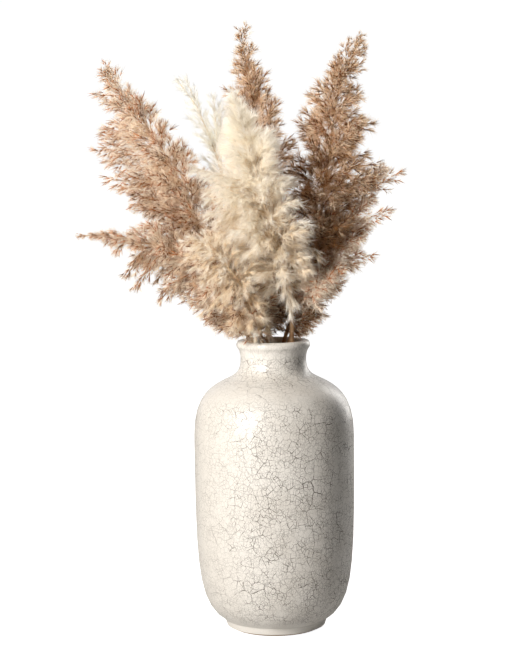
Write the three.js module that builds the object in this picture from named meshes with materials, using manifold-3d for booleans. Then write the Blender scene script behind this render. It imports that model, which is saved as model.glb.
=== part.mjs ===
// Dried pampas grass and reed standing in a crackle-glazed vase.
// Millimetres, +Z up, origin at the centre of the vase's flat base, front towards -Y.
// Eight cut stems stand loose in the vase. Each carries its own flower plume, and every stem,
// every plume and the vase is one closed solid.
import * as THREE from 'three';
import { mergeVertices } from 'three/addons/utils/BufferGeometryUtils.js';
import Module from 'manifold-3d';

const wasm = await Module();
wasm.setup();

// ---- Driving dimensions: the vase ----
const VASE_HEIGHT = 305;
const BASE_RADIUS = 47;
const FOOT_RADIUS = 54.6;
const FOOT_HEIGHT = 9.4;
const FOOT_BEVEL = 2.5;
const BODY_RADIUS = 84.3;
const BODY_TOP = 205;
const NECK_RADIUS = 34.8;
const NECK_HEIGHT = 267.5;
const NECK_TURN_RADIUS = 43.5;
const LIP_RADIUS = 38.5;
const LIP_BOTTOM = 289;
const WALL = 5;
const FLOOR = 8;
const VASE_SEGMENTS = 48;
const CURVE_STEPS = 4; // straight steps along each curve of the vase's section

// ---- Driving dimensions: the grasses ----
const MOUTH_HEIGHT = 302;
const STEM_REST_HEIGHT = FLOOR + 1;
const GAP = 0.35;
const STEM_SIDES = 8;
const STEM_STEPS = 14;
const RACHIS_SIDES = 6;
const RACHIS_RINGS = 9;
const RACHIS_TIP_THICKNESS = 0.35; // as a share of its thickness at the plume's foot
const BRANCH_SIDES = 5;
const BRANCH_FRAMES = 20;
const BRANCH_ZONE = 0.96; // share of the plume's stalk that carries branches
const BRANCH_TIP_GIRTH = 0.55; // girth of the topmost branch, as a share of the lowest one's
const BRANCH_LEAN = 0.35; // how far a branch leans along the stalk
const KNEE_ALONG = 0.25; // a branch's bend, as shares of its length along the stalk and outwards
const KNEE_OUT = 0.3;
const GOLDEN_ANGLE = Math.PI * (3 - Math.sqrt(5));

// Each grass: where its cut end stands on the vase's floor and where it passes the mouth (x, y), the
// route of its stem above the mouth, its thickness, how far it runs bare above the mouth, and its
// side branches: how many, their length at the plume's foot, middle and tip, their girth, the way
// they sweep, how far they spread all round and how much they droop.
const GRASSES = [
  {
    name: 'pampas_front', kind: 'pampas', foot: [23, 34], mouth: [19.5, -8],
    route: [[19, -13, 335], [13, -22, 369], [3, -32, 411], [-9, -38, 452], [-20, -40, 493],
      [-30, -38, 529], [-41, -33, 572]],
    thickness: 5.2, bare: 28, branches: 18, lengths: [84, 78, 36], girth: 7.5,
    sweep: [0.15, -0.2, 0.55], spread: 0.62, droop: 0.42,
  },
  {
    name: 'reed_left', kind: 'reed', foot: [42, -2], mouth: [-24.5, -4],
    route: [[-37, -1, 333], [-53, 3, 370], [-69, 7, 410], [-87, 11, 450], [-107, 15, 492],
      [-131, 18, 530], [-155, 21, 564], [-183, 25, 602]],
    thickness: 4.4, bare: 50, branches: 15, lengths: [72, 84, 22], girth: 6,
    sweep: [-0.95, 0.05, 0.5], spread: 0.42, droop: 0.12,
  },
  {
    name: 'reed_back', kind: 'reed', foot: [-2, 11], mouth: [-5.5, 18],
    route: [[-3, 26, 345], [-2, 34, 398], [-5, 42, 451], [-10, 50, 504], [-18, 56, 557],
      [-26, 60, 600], [-33, 63, 638]],
    thickness: 4.4, bare: 50, branches: 15, lengths: [78, 62, 18], girth: 6,
    sweep: [0.2, 0.1, 0.8], spread: 0.5, droop: 0.1,
  },
  {
    name: 'reed_right', kind: 'reed', foot: [-41, 7], mouth: [11.5, 9],
    route: [[26, 9, 346], [39, 10, 388], [50, 10, 430], [57, 10, 472], [63, 10, 513],
      [69, 10, 555], [80, 10, 591], [101, 10, 622]],
    thickness: 4.4, bare: 46, branches: 15, lengths: [74, 66, 20], girth: 6,
    sweep: [0.1, 0, 0.62], spread: 0.66, droop: 0.18,
  },
  {
    name: 'pampas_slim', kind: 'pampas', foot: [-19, -4], mouth: [-12, 5],
    route: [[-22, 12, 346], [-34, 20, 399], [-46, 27, 451], [-57, 32, 494], [-72, 36, 536],
      [-87, 38, 563], [-106, 40, 586]],
    thickness: 3.8, bare: 60, branches: 11, lengths: [60, 52, 20], girth: 5,
    sweep: [-0.1, 0.05, 0.85], spread: 0.34, droop: 0.1,
  },
  {
    name: 'reed_low_left', kind: 'reed', foot: [14, -4], mouth: [-21, -14],
    route: [[-32, -17, 330], [-50, -24, 359], [-75, -30, 384], [-108, -35, 403], [-145, -38, 413],
      [-177, -40, 418], [-204, -41, 417]],
    thickness: 4, bare: 24, branches: 13, lengths: [56, 54, 20], girth: 5.6,
    sweep: [-0.5, -0.05, -0.25], spread: 0.55, droop: 0.22,
  },
  {
    name: 'pampas_low', kind: 'pampas', foot: [19, 4], mouth: [-11.5, -20.5],
    route: [[-16, -30, 327], [-25, -42, 350], [-37, -52, 374], [-51, -58, 392], [-66, -62, 407],
      [-83, -64, 419]],
    thickness: 4.4, bare: 16, branches: 12, lengths: [48, 46, 24], girth: 6.5,
    sweep: [-0.2, -0.25, 0.1], spread: 0.6, droop: 0.3,
  },
  {
    name: 'reed_low_right', kind: 'reed', foot: [-34, 8], mouth: [16.5, 3.5],
    route: [[26, 6, 325], [40, 10, 353], [59, 14, 381], [76, 16, 410], [90, 16, 440],
      [104, 16, 468], [124, 16, 490]],
    thickness: 3.8, bare: 22, branches: 13, lengths: [58, 60, 22], girth: 5.6,
    sweep: [0.45, -0.1, 0.15], spread: 0.62, droop: 0.2,
  },
];

const MATERIALS = {
  glaze: { color: 0xe6dfd1, roughness: 0.12, metalness: 0 },
  stem: { color: 0xa07a4f, roughness: 0.7, metalness: 0 },
  pampas: { color: 0xe3d2b2, roughness: 0.9, metalness: 0 },
  reed: { color: 0xb48a5e, roughness: 0.85, metalness: 0 },
};

// ---- Solids ----

// The closed solid of a geometry, with its shared vertices merged.
function solid(geometry) {
  const bare = geometry.clone();
  bare.deleteAttribute('normal');
  bare.deleteAttribute('uv');
  const merged = mergeVertices(bare, 1e-4);
  return new wasm.Manifold(new wasm.Mesh({
    numProp: 3,
    vertProperties: new Float32Array(merged.attributes.position.array),
    triVerts: new Uint32Array(merged.index.array),
  }));
}

// The geometry of a solid.
function geometryOf(shape) {
  const mesh = shape.getMesh();
  const geometry = new THREE.BufferGeometry();
  geometry.setAttribute('position', new THREE.BufferAttribute(mesh.vertProperties, 3));
  geometry.setIndex(new THREE.BufferAttribute(mesh.triVerts, 1));
  geometry.computeVertexNormals();
  return geometry;
}

function join(shapes) {
  return shapes.reduce((whole, next) => whole.add(next));
}

function largestPiece(shape) {
  return shape.decompose().reduce((a, b) => (a.volume() > b.volume() ? a : b));
}

function named(name, geometry, look) {
  const mesh = new THREE.Mesh(geometry, new THREE.MeshStandardMaterial(MATERIALS[look]));
  mesh.name = name;
  return mesh;
}

// ---- Vase ----

// Half section of the vase as (radius, height): up the outside, over the lip and down the inside.
function vaseSection() {
  const innerBody = BODY_RADIUS - WALL;
  const innerNeck = NECK_RADIUS - WALL;
  const section = new THREE.Path();
  section.moveTo(0, 0);
  section.lineTo(BASE_RADIUS, 0);
  section.lineTo(FOOT_RADIUS - FOOT_BEVEL, FOOT_BEVEL);
  section.lineTo(FOOT_RADIUS, FOOT_HEIGHT);
  section.bezierCurveTo(83.2, 26.6, BODY_RADIUS, 63.9, BODY_RADIUS, BODY_TOP);
  section.bezierCurveTo(BODY_RADIUS, 253.8, 59.7, 258.6, NECK_TURN_RADIUS, NECK_HEIGHT);
  section.bezierCurveTo(34.2, 273, NECK_RADIUS - 0.6, 282, NECK_RADIUS, LIP_BOTTOM);
  section.bezierCurveTo(35.6, 293.5, 36.8, 296, LIP_RADIUS, 298);
  section.bezierCurveTo(39.7, 300.5, LIP_RADIUS, VASE_HEIGHT, 35, VASE_HEIGHT);
  section.bezierCurveTo(32.5, VASE_HEIGHT, 31, 302.5, 30.4, 297);
  section.bezierCurveTo(innerNeck, 290, innerNeck - 0.4, 273, NECK_TURN_RADIUS - 3, 263);
  section.bezierCurveTo(56.5, 253.8, innerBody, 249, innerBody, BODY_TOP - 3);
  section.bezierCurveTo(innerBody, 66, 78.5, 31, FOOT_RADIUS - 2, FLOOR + 6);
  section.quadraticCurveTo(49.5, FLOOR, BASE_RADIUS, FLOOR);
  section.lineTo(0, FLOOR);
  return section.getPoints(CURVE_STEPS);
}

function vase() {
  const geometry = new THREE.LatheGeometry(vaseSection(), VASE_SEGMENTS);
  geometry.rotateX(Math.PI / 2);
  return named('vase', geometryOf(solid(geometry)), 'glaze');
}

// ---- Grass ----

// The whole stem's line, from its cut end on the vase's floor through the mouth to the plume's tip.
function grassLine({ foot, mouth, route }) {
  const cutEnd = new THREE.Vector3(...foot, STEM_REST_HEIGHT);
  const atMouth = new THREE.Vector3(...mouth, MOUTH_HEIGHT);
  const lower = new THREE.Vector3().lerpVectors(cutEnd, atMouth, 0.5);
  const upper = route.map((point) => new THREE.Vector3(...point));
  const line = new THREE.CatmullRomCurve3([cutEnd, lower, atMouth, ...upper], false, 'centripetal');
  const whole = line.getLength();
  const below = cutEnd.distanceTo(atMouth);
  return { line, whole, below };
}

// The stretch of a grass's line between two lengths along it, as a curve of its own.
function stretch({ line, whole }, start, end, count) {
  const points = [];
  for (let i = 0; i <= count; i += 1) {
    points.push(line.getPointAt((start + (end - start) * (i / count)) / whole));
  }
  return new THREE.CatmullRomCurve3(points, false, 'centripetal');
}

function stemSolid(grass, clearance) {
  const course = grassLine(grass);
  const end = course.below + grass.bare;
  const radius = grass.thickness / 2 + clearance;
  const outline = new THREE.Shape();
  for (let i = 0; i < STEM_SIDES; i += 1) {
    const angle = (2 * Math.PI * i) / STEM_SIDES;
    const corner = [radius * Math.cos(angle), radius * Math.sin(angle)];
    if (i === 0) outline.moveTo(...corner);
    else outline.lineTo(...corner);
  }
  return solid(new THREE.ExtrudeGeometry(outline, {
    steps: STEM_STEPS,
    bevelEnabled: false,
    extrudePath: stretch(course, 0, end, STEM_STEPS),
  }));
}

// A turned solid bent along a curve. The outline holds (radius, share of the length) pairs.
function bentSolid(curve, outline, sides, rings) {
  const points = outline.map(([radius, share]) => new THREE.Vector2(radius, share));
  const geometry = new THREE.LatheGeometry(points, sides);
  const frames = curve.computeFrenetFrames(rings, false);
  const position = geometry.attributes.position;
  for (let i = 0; i < position.count; i += 1) {
    const share = position.getY(i);
    const ring = Math.round(share * rings);
    const place = curve.getPointAt(Math.min(1, Math.max(0, share)));
    place.addScaledVector(frames.normals[ring], position.getX(i));
    place.addScaledVector(frames.binormals[ring], -position.getZ(i));
    position.setXYZ(i, place.x, place.y, place.z);
  }
  return solid(geometry);
}

// The plume's own stalk: it thins towards the tip and ends in a point.
function rachisSolid(grass, clearance) {
  const course = grassLine(grass);
  const start = course.below + grass.bare + GAP;
  const curve = stretch(course, start, course.whole, RACHIS_RINGS);
  const radius = grass.thickness / 2;
  const outline = [[0, 0]];
  for (let i = 0; i < RACHIS_RINGS; i += 1) {
    const share = i / RACHIS_RINGS;
    outline.push([radius * (1 - (1 - RACHIS_TIP_THICKNESS) * share) + clearance, share]);
  }
  outline.push([0, 1]);
  return { curve, body: bentSolid(curve, outline, RACHIS_SIDES, RACHIS_RINGS) };
}

// Length of a side branch at a share of the way up the plume, from its foot, middle and tip lengths.
function branchLength([foot, middle, tip], share) {
  if (share < 0.5) return foot + (middle - foot) * share * 2;
  return middle + (tip - middle) * (share - 0.5) * 2;
}

// One side branch: it leaves the rachis along it, swings out and droops at its end.
function branchSolid(grass, curve, index, clearance) {
  const share = (index + 0.5) / grass.branches;
  const start = curve.getPointAt(share * BRANCH_ZONE);
  const along = curve.getTangentAt(share * BRANCH_ZONE);
  const length = branchLength(grass.lengths, share);
  const angle = index * GOLDEN_ANGLE;
  const across = new THREE.Vector3(Math.cos(angle), Math.sin(angle), 0);
  across.projectOnPlane(along).normalize();
  const out = new THREE.Vector3(...grass.sweep)
    .addScaledVector(across, grass.spread)
    .addScaledVector(along, BRANCH_LEAN)
    .normalize();
  const knee = start.clone()
    .addScaledVector(along, length * KNEE_ALONG)
    .addScaledVector(out, length * KNEE_OUT);
  const end = start.clone().addScaledVector(out, length);
  end.z -= length * grass.droop;
  const bend = new THREE.QuadraticBezierCurve3(start, knee, end);
  const girth = grass.girth * THREE.MathUtils.lerp(1, BRANCH_TIP_GIRTH, share);
  const outline = [
    [0, 0],
    [girth * 0.45 + clearance, 0.05],
    [girth + clearance, 0.4],
    [girth * 0.75 + clearance, 0.75],
    [0, 1],
  ];
  return bentSolid(bend, outline, BRANCH_SIDES, BRANCH_FRAMES);
}

function branchSolids(grass, curve, clearance) {
  const branches = [];
  for (let i = 0; i < grass.branches; i += 1) {
    branches.push(branchSolid(grass, curve, i, clearance));
  }
  return branches;
}

// Every plume keeps clear of all stems and of the other plumes' stalks, and its side branches keep
// clear of those of the plumes before it.
function plumes(grasses) {
  const stalks = grasses.map((grass) => rachisSolid(grass, 0));
  const reserved = grasses.map((grass) => (
    join([stemSolid(grass, GAP), rachisSolid(grass, GAP).body])
  ));
  let taken = null;
  return grasses.map((grass, i) => {
    const { curve, body } = stalks[i];
    let branches = join(branchSolids(grass, curve, 0));
    branches = branches.subtract(join(reserved.filter((_, other) => other !== i)));
    branches = branches.subtract(stemSolid(grass, GAP));
    if (taken) branches = branches.subtract(taken);
    const filled = join(branchSolids(grass, curve, GAP));
    taken = taken ? taken.add(filled) : filled;
    return named(`plume_${grass.name}`, geometryOf(largestPiece(branches.add(body))), grass.kind);
  });
}

const group = new THREE.Group();
group.add(vase());
for (const grass of GRASSES) {
  group.add(named(`stem_${grass.name}`, geometryOf(stemSolid(grass, 0)), 'stem'));
}
group.add(...plumes(GRASSES));

export default group;
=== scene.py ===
"""Dried pampas grass and reed standing in a crackle-glazed vase.

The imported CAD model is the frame. Each of its pieces is shown again in full: the vase turned from
its section, the cut stems with their joints, and every plume as branches, spikelets and silk.

The frame is +Z up with its origin at the centre of the vase's flat base and the front towards -Y.
Sizes in this file are in millimetres, as in the CAD model, and the meshes are made in metres.
"""

import logging
import math
from dataclasses import dataclass, field, replace
from enum import Enum

import bmesh
import bpy
import numpy as np
from mathutils import Matrix, Vector


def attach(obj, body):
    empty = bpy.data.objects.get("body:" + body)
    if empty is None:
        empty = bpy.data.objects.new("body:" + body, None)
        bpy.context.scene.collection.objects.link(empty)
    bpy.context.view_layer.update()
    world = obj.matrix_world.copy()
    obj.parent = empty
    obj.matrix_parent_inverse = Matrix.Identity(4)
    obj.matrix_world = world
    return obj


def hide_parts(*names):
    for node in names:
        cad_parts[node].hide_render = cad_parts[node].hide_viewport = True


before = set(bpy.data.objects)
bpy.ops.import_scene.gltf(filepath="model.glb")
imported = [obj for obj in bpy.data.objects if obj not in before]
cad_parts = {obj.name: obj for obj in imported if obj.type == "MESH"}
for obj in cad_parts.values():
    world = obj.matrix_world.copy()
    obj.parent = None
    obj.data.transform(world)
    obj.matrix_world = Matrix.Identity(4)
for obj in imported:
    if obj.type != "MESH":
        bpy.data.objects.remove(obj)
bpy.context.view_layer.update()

log = logging.getLogger("arrangement")

MM = 0.001
BAKE_MAP = "OFBake"  # the map that the finishes of the plumes read: (tone, share of the length)
GOLDEN_ANGLE = math.pi * (3 - math.sqrt(5))
DOWN = np.array([0.0, 0.0, -1.0])

Colour = tuple[float, float, float]
Place = tuple[float, float, float]
Stations = tuple[float, float, float, float, float]


# ---- Small helpers ----


def linear(colour: Colour) -> tuple[float, float, float, float]:
    """Turns a screen colour into the linear one that the shaders take.

    Args:
        colour: Red, green and blue from 0 to 1, as a screen shows them.

    Returns:
        The linear colour with an alpha of 1.
    """
    steps = [c / 12.92 if c <= 0.04045 else ((c + 0.055) / 1.055) ** 2.4 for c in colour]
    return (*steps, 1.0)


def deselect_everything() -> None:
    """Leaves edit mode and clears the selection, so that an operator meets only what is new."""
    if bpy.context.mode != "OBJECT":
        bpy.ops.object.mode_set(mode="OBJECT")
    bpy.ops.object.select_all(action="DESELECT")


def unit(vectors: np.ndarray) -> np.ndarray:
    """Scales vectors to a length of one."""
    return vectors / np.maximum(np.linalg.norm(vectors, axis=-1, keepdims=True), 1e-9)


def across(headings: np.ndarray, turns: np.ndarray) -> np.ndarray:
    """Finds directions at right angles to headings.

    Args:
        headings: Unit vectors, one a row.
        turns: How far each direction is turned round its heading, in radians.

    Returns:
        Unit vectors at right angles to the headings.
    """
    steep = np.abs(headings[..., 2:3]) > 0.9
    aid = np.where(steep, np.array([1.0, 0.0, 0.0]), np.array([0.0, 0.0, 1.0]))
    first = unit(np.cross(aid, headings))
    second = np.cross(headings, first)
    return first * np.cos(turns)[..., None] + second * np.sin(turns)[..., None]


# ---- Shader sheets ----


class Wire:
    """An output socket that can be reckoned with: each operator adds a Math node."""

    def __init__(self, sheet: "Sheet", socket: bpy.types.NodeSocket) -> None:
        """Keeps the sheet that the socket is on."""
        self.sheet = sheet
        self.socket = socket

    def __add__(self, other: "Wire | float") -> "Wire":
        """Adds."""
        return self.sheet.math("ADD", self, other)

    def __radd__(self, other: "Wire | float") -> "Wire":
        """Adds, with the number first."""
        return self.sheet.math("ADD", other, self)

    def __sub__(self, other: "Wire | float") -> "Wire":
        """Subtracts."""
        return self.sheet.math("SUBTRACT", self, other)

    def __rsub__(self, other: "Wire | float") -> "Wire":
        """Subtracts this from a number."""
        return self.sheet.math("SUBTRACT", other, self)

    def __mul__(self, other: "Wire | float") -> "Wire":
        """Multiplies."""
        return self.sheet.math("MULTIPLY", self, other)

    def __rmul__(self, other: "Wire | float") -> "Wire":
        """Multiplies, with the number first."""
        return self.sheet.math("MULTIPLY", other, self)


class Sheet:
    """The node sheet of one material or world."""

    def __init__(self, owner: bpy.types.Material | bpy.types.World) -> None:
        """Starts an empty sheet.

        Args:
            owner: The material or world that the sheet belongs to.
        """
        owner.use_nodes = True
        self.owner = owner
        self.tree = owner.node_tree
        self.tree.nodes.clear()

    def node(self, kind: str, settings: dict | None = None, inputs: dict | None = None) -> bpy.types.Node:
        """Adds one node.

        Args:
            kind: The node's type.
            settings: Its settings, which are set before the sockets. The key stops holds the
                stops of a ramp as (place, colour) pairs.
            inputs: Values or wires for its sockets, by name or number.

        Returns:
            The node.
        """
        made = self.tree.nodes.new(kind)
        for key, value in (settings or {}).items():
            if key == "stops":
                self._set_stops(made, value)
            else:
                setattr(made, key, value)
        for key, value in (inputs or {}).items():
            self._feed(made.inputs[key], value)
        return made

    def _set_stops(self, ramp: bpy.types.Node, stops: list[tuple[float, Colour]]) -> None:
        """Gives a ramp its stops."""
        elements = ramp.color_ramp.elements
        while len(elements) < len(stops):
            elements.new(1.0)
        for element, (place, colour) in zip(elements, stops):
            element.position = place
            element.color = linear(colour)

    def _feed(self, socket: bpy.types.NodeSocket, value: object) -> None:
        """Links a wire to a socket, or sets the socket's own value."""
        if isinstance(value, Wire):
            self.tree.links.new(value.socket, socket)
        else:
            socket.default_value = value

    def wire(self, node: bpy.types.Node, output: str | int = 0) -> Wire:
        """Takes one output of a node."""
        return Wire(self, node.outputs[output])

    def math(self, operation: str, *values: "Wire | float") -> Wire:
        """Adds a Math node.

        Args:
            operation: Its operation.
            values: Its inputs in order.

        Returns:
            The result.
        """
        return self.wire(self.node("ShaderNodeMath", {"operation": operation}, dict(enumerate(values))))

    def smooth_step(self, value: Wire, start: float, end: float) -> Wire:
        """Goes softly from 0 to 1 while a value goes from start to end."""
        settings = {"interpolation_type": "SMOOTHSTEP"}
        inputs = {"Value": value, "From Min": start, "From Max": end}
        return self.wire(self.node("ShaderNodeMapRange", settings, inputs))

    def mix(self, factor: "Wire | float", first: object, second: object, blend: str = "MIX") -> Wire:
        """Mixes two colours.

        Args:
            factor: Share of the second colour.
            first: A wire or a screen colour.
            second: A wire or a screen colour.
            blend: The way of mixing.

        Returns:
            The mixed colour.
        """
        colours = [c if isinstance(c, Wire) else linear(c) for c in (first, second)]
        settings = {"data_type": "RGBA", "blend_type": blend, "clamp_factor": True}
        mixer = self.node("ShaderNodeMix", settings, {0: factor, 6: colours[0], 7: colours[1]})
        return self.wire(mixer, 2)

    def vector(self, operation: str, first: object, second: object) -> Wire:
        """Adds a Vector Math node."""
        return self.wire(
            self.node("ShaderNodeVectorMath", {"operation": operation}, {0: first, 1: second})
        )

    def scaled(self, vector: Wire, factors: Place) -> Wire:
        """Multiplies a vector by one factor for each axis."""
        return self.vector("MULTIPLY", vector, factors)

    def place_mm(self) -> Wire:
        """The place on the piece in millimetres."""
        coordinates = self.node("ShaderNodeTexCoord")
        return self.scaled(self.wire(coordinates, "Object"), (1 / MM, 1 / MM, 1 / MM))

    def noise(self, place: Wire, grain: float, detail: float = 3.0, output: str = "Fac") -> Wire:
        """A soft random pattern.

        Args:
            place: Where it is read, in millimetres.
            grain: Size of its blotches in millimetres.
            detail: How many finer patterns lie on the first.
            output: Fac for a number or Color for three.

        Returns:
            The pattern.
        """
        inputs = {"Vector": place, "Scale": 1 / grain, "Detail": detail}
        return self.wire(self.node("ShaderNodeTexNoise", None, inputs), output)

    def bump(self, height: Wire, depth: float, strength: float = 1.0) -> Wire:
        """Turns a height from 0 to 1 into a relief.

        Args:
            height: The height.
            depth: How deep a step from 1 to 0 is, in millimetres.
            strength: How much of the relief shows.

        Returns:
            The normal.
        """
        inputs = {"Height": height, "Distance": depth * MM, "Strength": strength}
        return self.wire(self.node("ShaderNodeBump", None, inputs))

    def finish(self, shader: Wire) -> bpy.types.Material:
        """Leads a shader to the output and returns the material."""
        self.node("ShaderNodeOutputMaterial", None, {"Surface": shader})
        return self.owner


# ---- Finishes ----


@dataclass(frozen=True)
class CrackNet:
    """One net of cracks in the glaze.

    Attributes:
        cell: Usual size of its cells in millimetres.
        width: Width of its lines in millimetres.
        darkness: How dark its darkest lines are, from 0 to 1.
        patch: Size of the patches in which the net shows and fades, in millimetres.
        cover: Share of the surface on which it shows, roughly.
    """

    cell: float
    width: float
    darkness: float
    patch: float
    cover: float


@dataclass(frozen=True)
class CrackleGlaze:
    """Glossy cream glaze with a crackle of fine dark lines, bare clay at the foot's edge and painted shade on the
    inner wall below the lip.
    """

    name: str = "crackle_glaze"
    cream: Colour = (0.806, 0.792, 0.769)
    sand: Colour = (0.757, 0.738, 0.709)
    line: Colour = (0.22, 0.18, 0.14)
    clay: Colour = (0.70, 0.60, 0.48)
    # inside: painted shade, the dark colour of the inner wall below the lip where the bouquet shades the mouth
    inside: Colour = (0.24, 0.17, 0.12)
    glaze_edge: float = 2.3
    gloss_roughness: float = 0.29
    body_radius: float = 84.3
    neck_radius: float = 38.0
    neck_start: float = 251.0
    nets: tuple[CrackNet, ...] = (
        CrackNet(17.0, 0.38, 1.00, 30.0, 0.42),
        CrackNet(9.0, 0.30, 1.00, 22.0, 0.58),
        CrackNet(4.9, 0.24, 0.90, 16.0, 0.68),
        CrackNet(2.6, 0.19, 0.70, 11.0, 0.66),
    )

    def _unrolled(self, sheet: Sheet, place: Wire) -> Wire:
        """Unrolls the vase's surface, so that cracks keep their width all over it.

        The back and the neck are unrolled on their own. A wavy border between them stays unseen,
        because cracks end anywhere.

        Args:
            sheet: The sheet to draw on.
            place: The place in millimetres.

        Returns:
            Way round and way up the wall, in millimetres.
        """
        parts = sheet.node("ShaderNodeSeparateXYZ", None, {0: place})
        x, y, z = (sheet.wire(parts, axis) for axis in "XYZ")
        wave = sheet.noise(place, 14.0, 2.0) - 0.5
        front_turn = sheet.math("ARCTAN2", x, 0 - y)
        back_turn = sheet.math("ARCTAN2", 0 - x, y)
        behind = sheet.math("GREATER_THAN", sheet.math("ABSOLUTE", front_turn) + wave * 0.5, 2.2)
        turn = front_turn + (back_turn + 40.0 - front_turn) * behind
        on_neck = sheet.math("GREATER_THAN", z + wave * 14.0, self.neck_start)
        radius = self.body_radius + on_neck * (self.neck_radius - self.body_radius)
        radial = sheet.math("SQRT", x * x + y * y)
        half = sheet.math("SIGN", z - 120.0)
        up = z + (self.body_radius - radial) * half * 0.8
        unrolled = sheet.node(
            "ShaderNodeCombineXYZ", None, {"X": turn * radius + on_neck * 900.0, "Y": up, "Z": 0.0}
        )
        return sheet.wire(unrolled)

    def _cracks(self, sheet: Sheet, place: Wire) -> Wire:
        """Lays the nets of cracks over each other.

        Args:
            sheet: The sheet to draw on.
            place: The place on the unrolled wall, in millimetres.

        Returns:
            How dark the crack is there, from 0 to 1.
        """
        total: Wire | float = 0.0
        for net in self.nets:
            colours = sheet.noise(place, net.cell * 0.7, 4.0, "Color")
            wander = sheet.vector("SUBTRACT", colours, (0.5, 0.5, 0.5))
            bent = sheet.vector("ADD", place, sheet.scaled(wander, (net.cell * 0.6,) * 3))
            shifted = sheet.vector("ADD", bent, (net.cell * 3.7, net.cell * 1.3, net.cell * 5.1))
            squeezed = sheet.scaled(shifted, (1.0, 0.88, 1.0))
            cells = sheet.node(
                "ShaderNodeTexVoronoi",
                {"voronoi_dimensions": "2D", "feature": "DISTANCE_TO_EDGE"},
                {"Vector": squeezed, "Scale": 1 / net.cell, "Randomness": 1.0},
            )
            distance = sheet.wire(cells, "Distance") * net.cell
            thick = sheet.noise(shifted, net.cell * 1.6, 2.0)
            half = sheet.math("MAXIMUM", thick * 4.2 - 1.05, 0.05) * (net.width / 2)
            line = 1 - sheet.smooth_step(sheet.math("DIVIDE", distance, half), 0.6, 1.3)
            patches = sheet.noise(shifted, net.patch, 2.0)
            middle = 0.5 + (0.5 - net.cover) * 0.5
            shows = sheet.smooth_step(patches, middle - 0.09, middle + 0.11)
            shade = line * (shows * 0.88 + 0.12) * net.darkness
            total = sheet.math("MAXIMUM", total, shade)
        return total

    def material(self) -> bpy.types.Material:
        """Makes the material."""
        sheet = Sheet(bpy.data.materials.new(self.name))
        place = sheet.place_mm()
        parts = sheet.node("ShaderNodeSeparateXYZ", None, {0: place})
        sideways, forward, height = (sheet.wire(parts, axis) for axis in "XYZ")
        edge_wave = (sheet.noise(place, 9.0, 2.0) - 0.5) * 1.4

        glazed = sheet.smooth_step(height + edge_wave, self.glaze_edge - 0.25, self.glaze_edge + 0.25)
        calm_foot = sheet.smooth_step(height + edge_wave * 6, 8.0, 22.0)
        wavy = height + edge_wave * 12
        on_shoulder = sheet.smooth_step(wavy, 238.0, 250.0) - sheet.smooth_step(wavy, 258.0, 268.0)
        calm_shoulder = 1 - on_shoulder * 0.55
        calm_lip = 1 - sheet.smooth_step(height + edge_wave * 2, 286.0, 291.0) * 0.6
        # Painted glare: on the lit left side the cracks fade to half, standing in for the key light washing them out.
        glare_calm = sheet.smooth_step(sideways + edge_wave * 16, -80.0, -5.0) * 0.5 + 0.5
        calm = calm_foot * calm_shoulder * calm_lip * glare_calm
        cracks = self._cracks(sheet, self._unrolled(sheet, place)) * calm

        blotch = sheet.smooth_step(sheet.noise(place, 34.0, 4.0), 0.36, 0.66)
        speckle = sheet.smooth_step(sheet.noise(place, 1.5, 2.0), 0.62, 0.74)
        # Partly the glaze's own sandy blotches, partly painted shade: the lit left side is darkened toward sand to
        # hold back its brightness under the key light.
        sand_blotch_and_lit_side_dimming = sheet.math("MAXIMUM", blotch * 0.6, (1 - glare_calm) * 1.8)
        body = sheet.mix(sand_blotch_and_lit_side_dimming, self.cream, self.sand)
        body = sheet.mix(speckle * 0.14, body, self.line)
        colour = sheet.mix(cracks, body, self.line)
        clay_grain = sheet.noise(place, 0.9, 4.0)
        clay = sheet.mix(clay_grain * 0.5, self.clay, (0.58, 0.47, 0.36))
        colour = sheet.mix(glazed, clay, colour)
        # Painted shade: the inner wall of the neck below the lip is darkened, standing in for the bouquet's shadow in
        # the mouth.
        radial = sheet.math("SQRT", sideways * sideways + forward * forward)
        below_lip = 1 - sheet.smooth_step(height + edge_wave, 295.0, 301.0)
        inside = (1 - sheet.smooth_step(radial, 31.0, 33.0)) * below_lip * glazed
        colour = sheet.mix(inside, colour, self.inside)

        sheen = sheet.noise(place, 12.0, 3.0) * 0.07 + self.gloss_roughness
        roughness = sheet.math("MAXIMUM", sheen + cracks * 0.3, (1 - glazed) * 0.8)
        waves = sheet.noise(place, 26.0, 2.0) * 0.6 + sheet.noise(place, 2.2, 2.0) * 0.06
        relief = waves - cracks * 0.12 + clay_grain * (1 - glazed) * 0.1
        gloss = sheet.node(
            "ShaderNodeBsdfPrincipled",
            None,
            {
                "Base Color": colour,
                "Roughness": roughness,
                "IOR": 1.44,
                "Normal": sheet.bump(relief, 0.36),
            },
        )
        return sheet.finish(sheet.wire(gloss))


@dataclass(frozen=True)
class DryCulm:
    """Dry matt stem with fine stripes along it and a few weathered blotches."""

    name: str = "dry_culm"
    pale: Colour = (0.80, 0.65, 0.49)
    brown: Colour = (0.62, 0.45, 0.31)
    stripe: Colour = (0.46, 0.32, 0.21)

    def material(self) -> bpy.types.Material:
        """Makes the material."""
        sheet = Sheet(bpy.data.materials.new(self.name))
        place = sheet.place_mm()
        drawn = sheet.scaled(place, (1.0, 1.0, 0.03))
        stripes = sheet.noise(drawn, 0.55, 3.0)
        blotches = sheet.smooth_step(sheet.noise(place, 22.0, 4.0), 0.4, 0.66)
        colour = sheet.mix(blotches, self.pale, self.brown)
        colour = sheet.mix(sheet.smooth_step(stripes, 0.52, 0.72) * 0.5, colour, self.stripe)
        shell = sheet.node(
            "ShaderNodeBsdfPrincipled",
            None,
            {
                "Base Color": colour,
                "Roughness": stripes * 0.3 + 0.5,
                "Normal": sheet.bump(stripes, 0.12),
            },
        )
        return sheet.finish(sheet.wire(shell))


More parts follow.
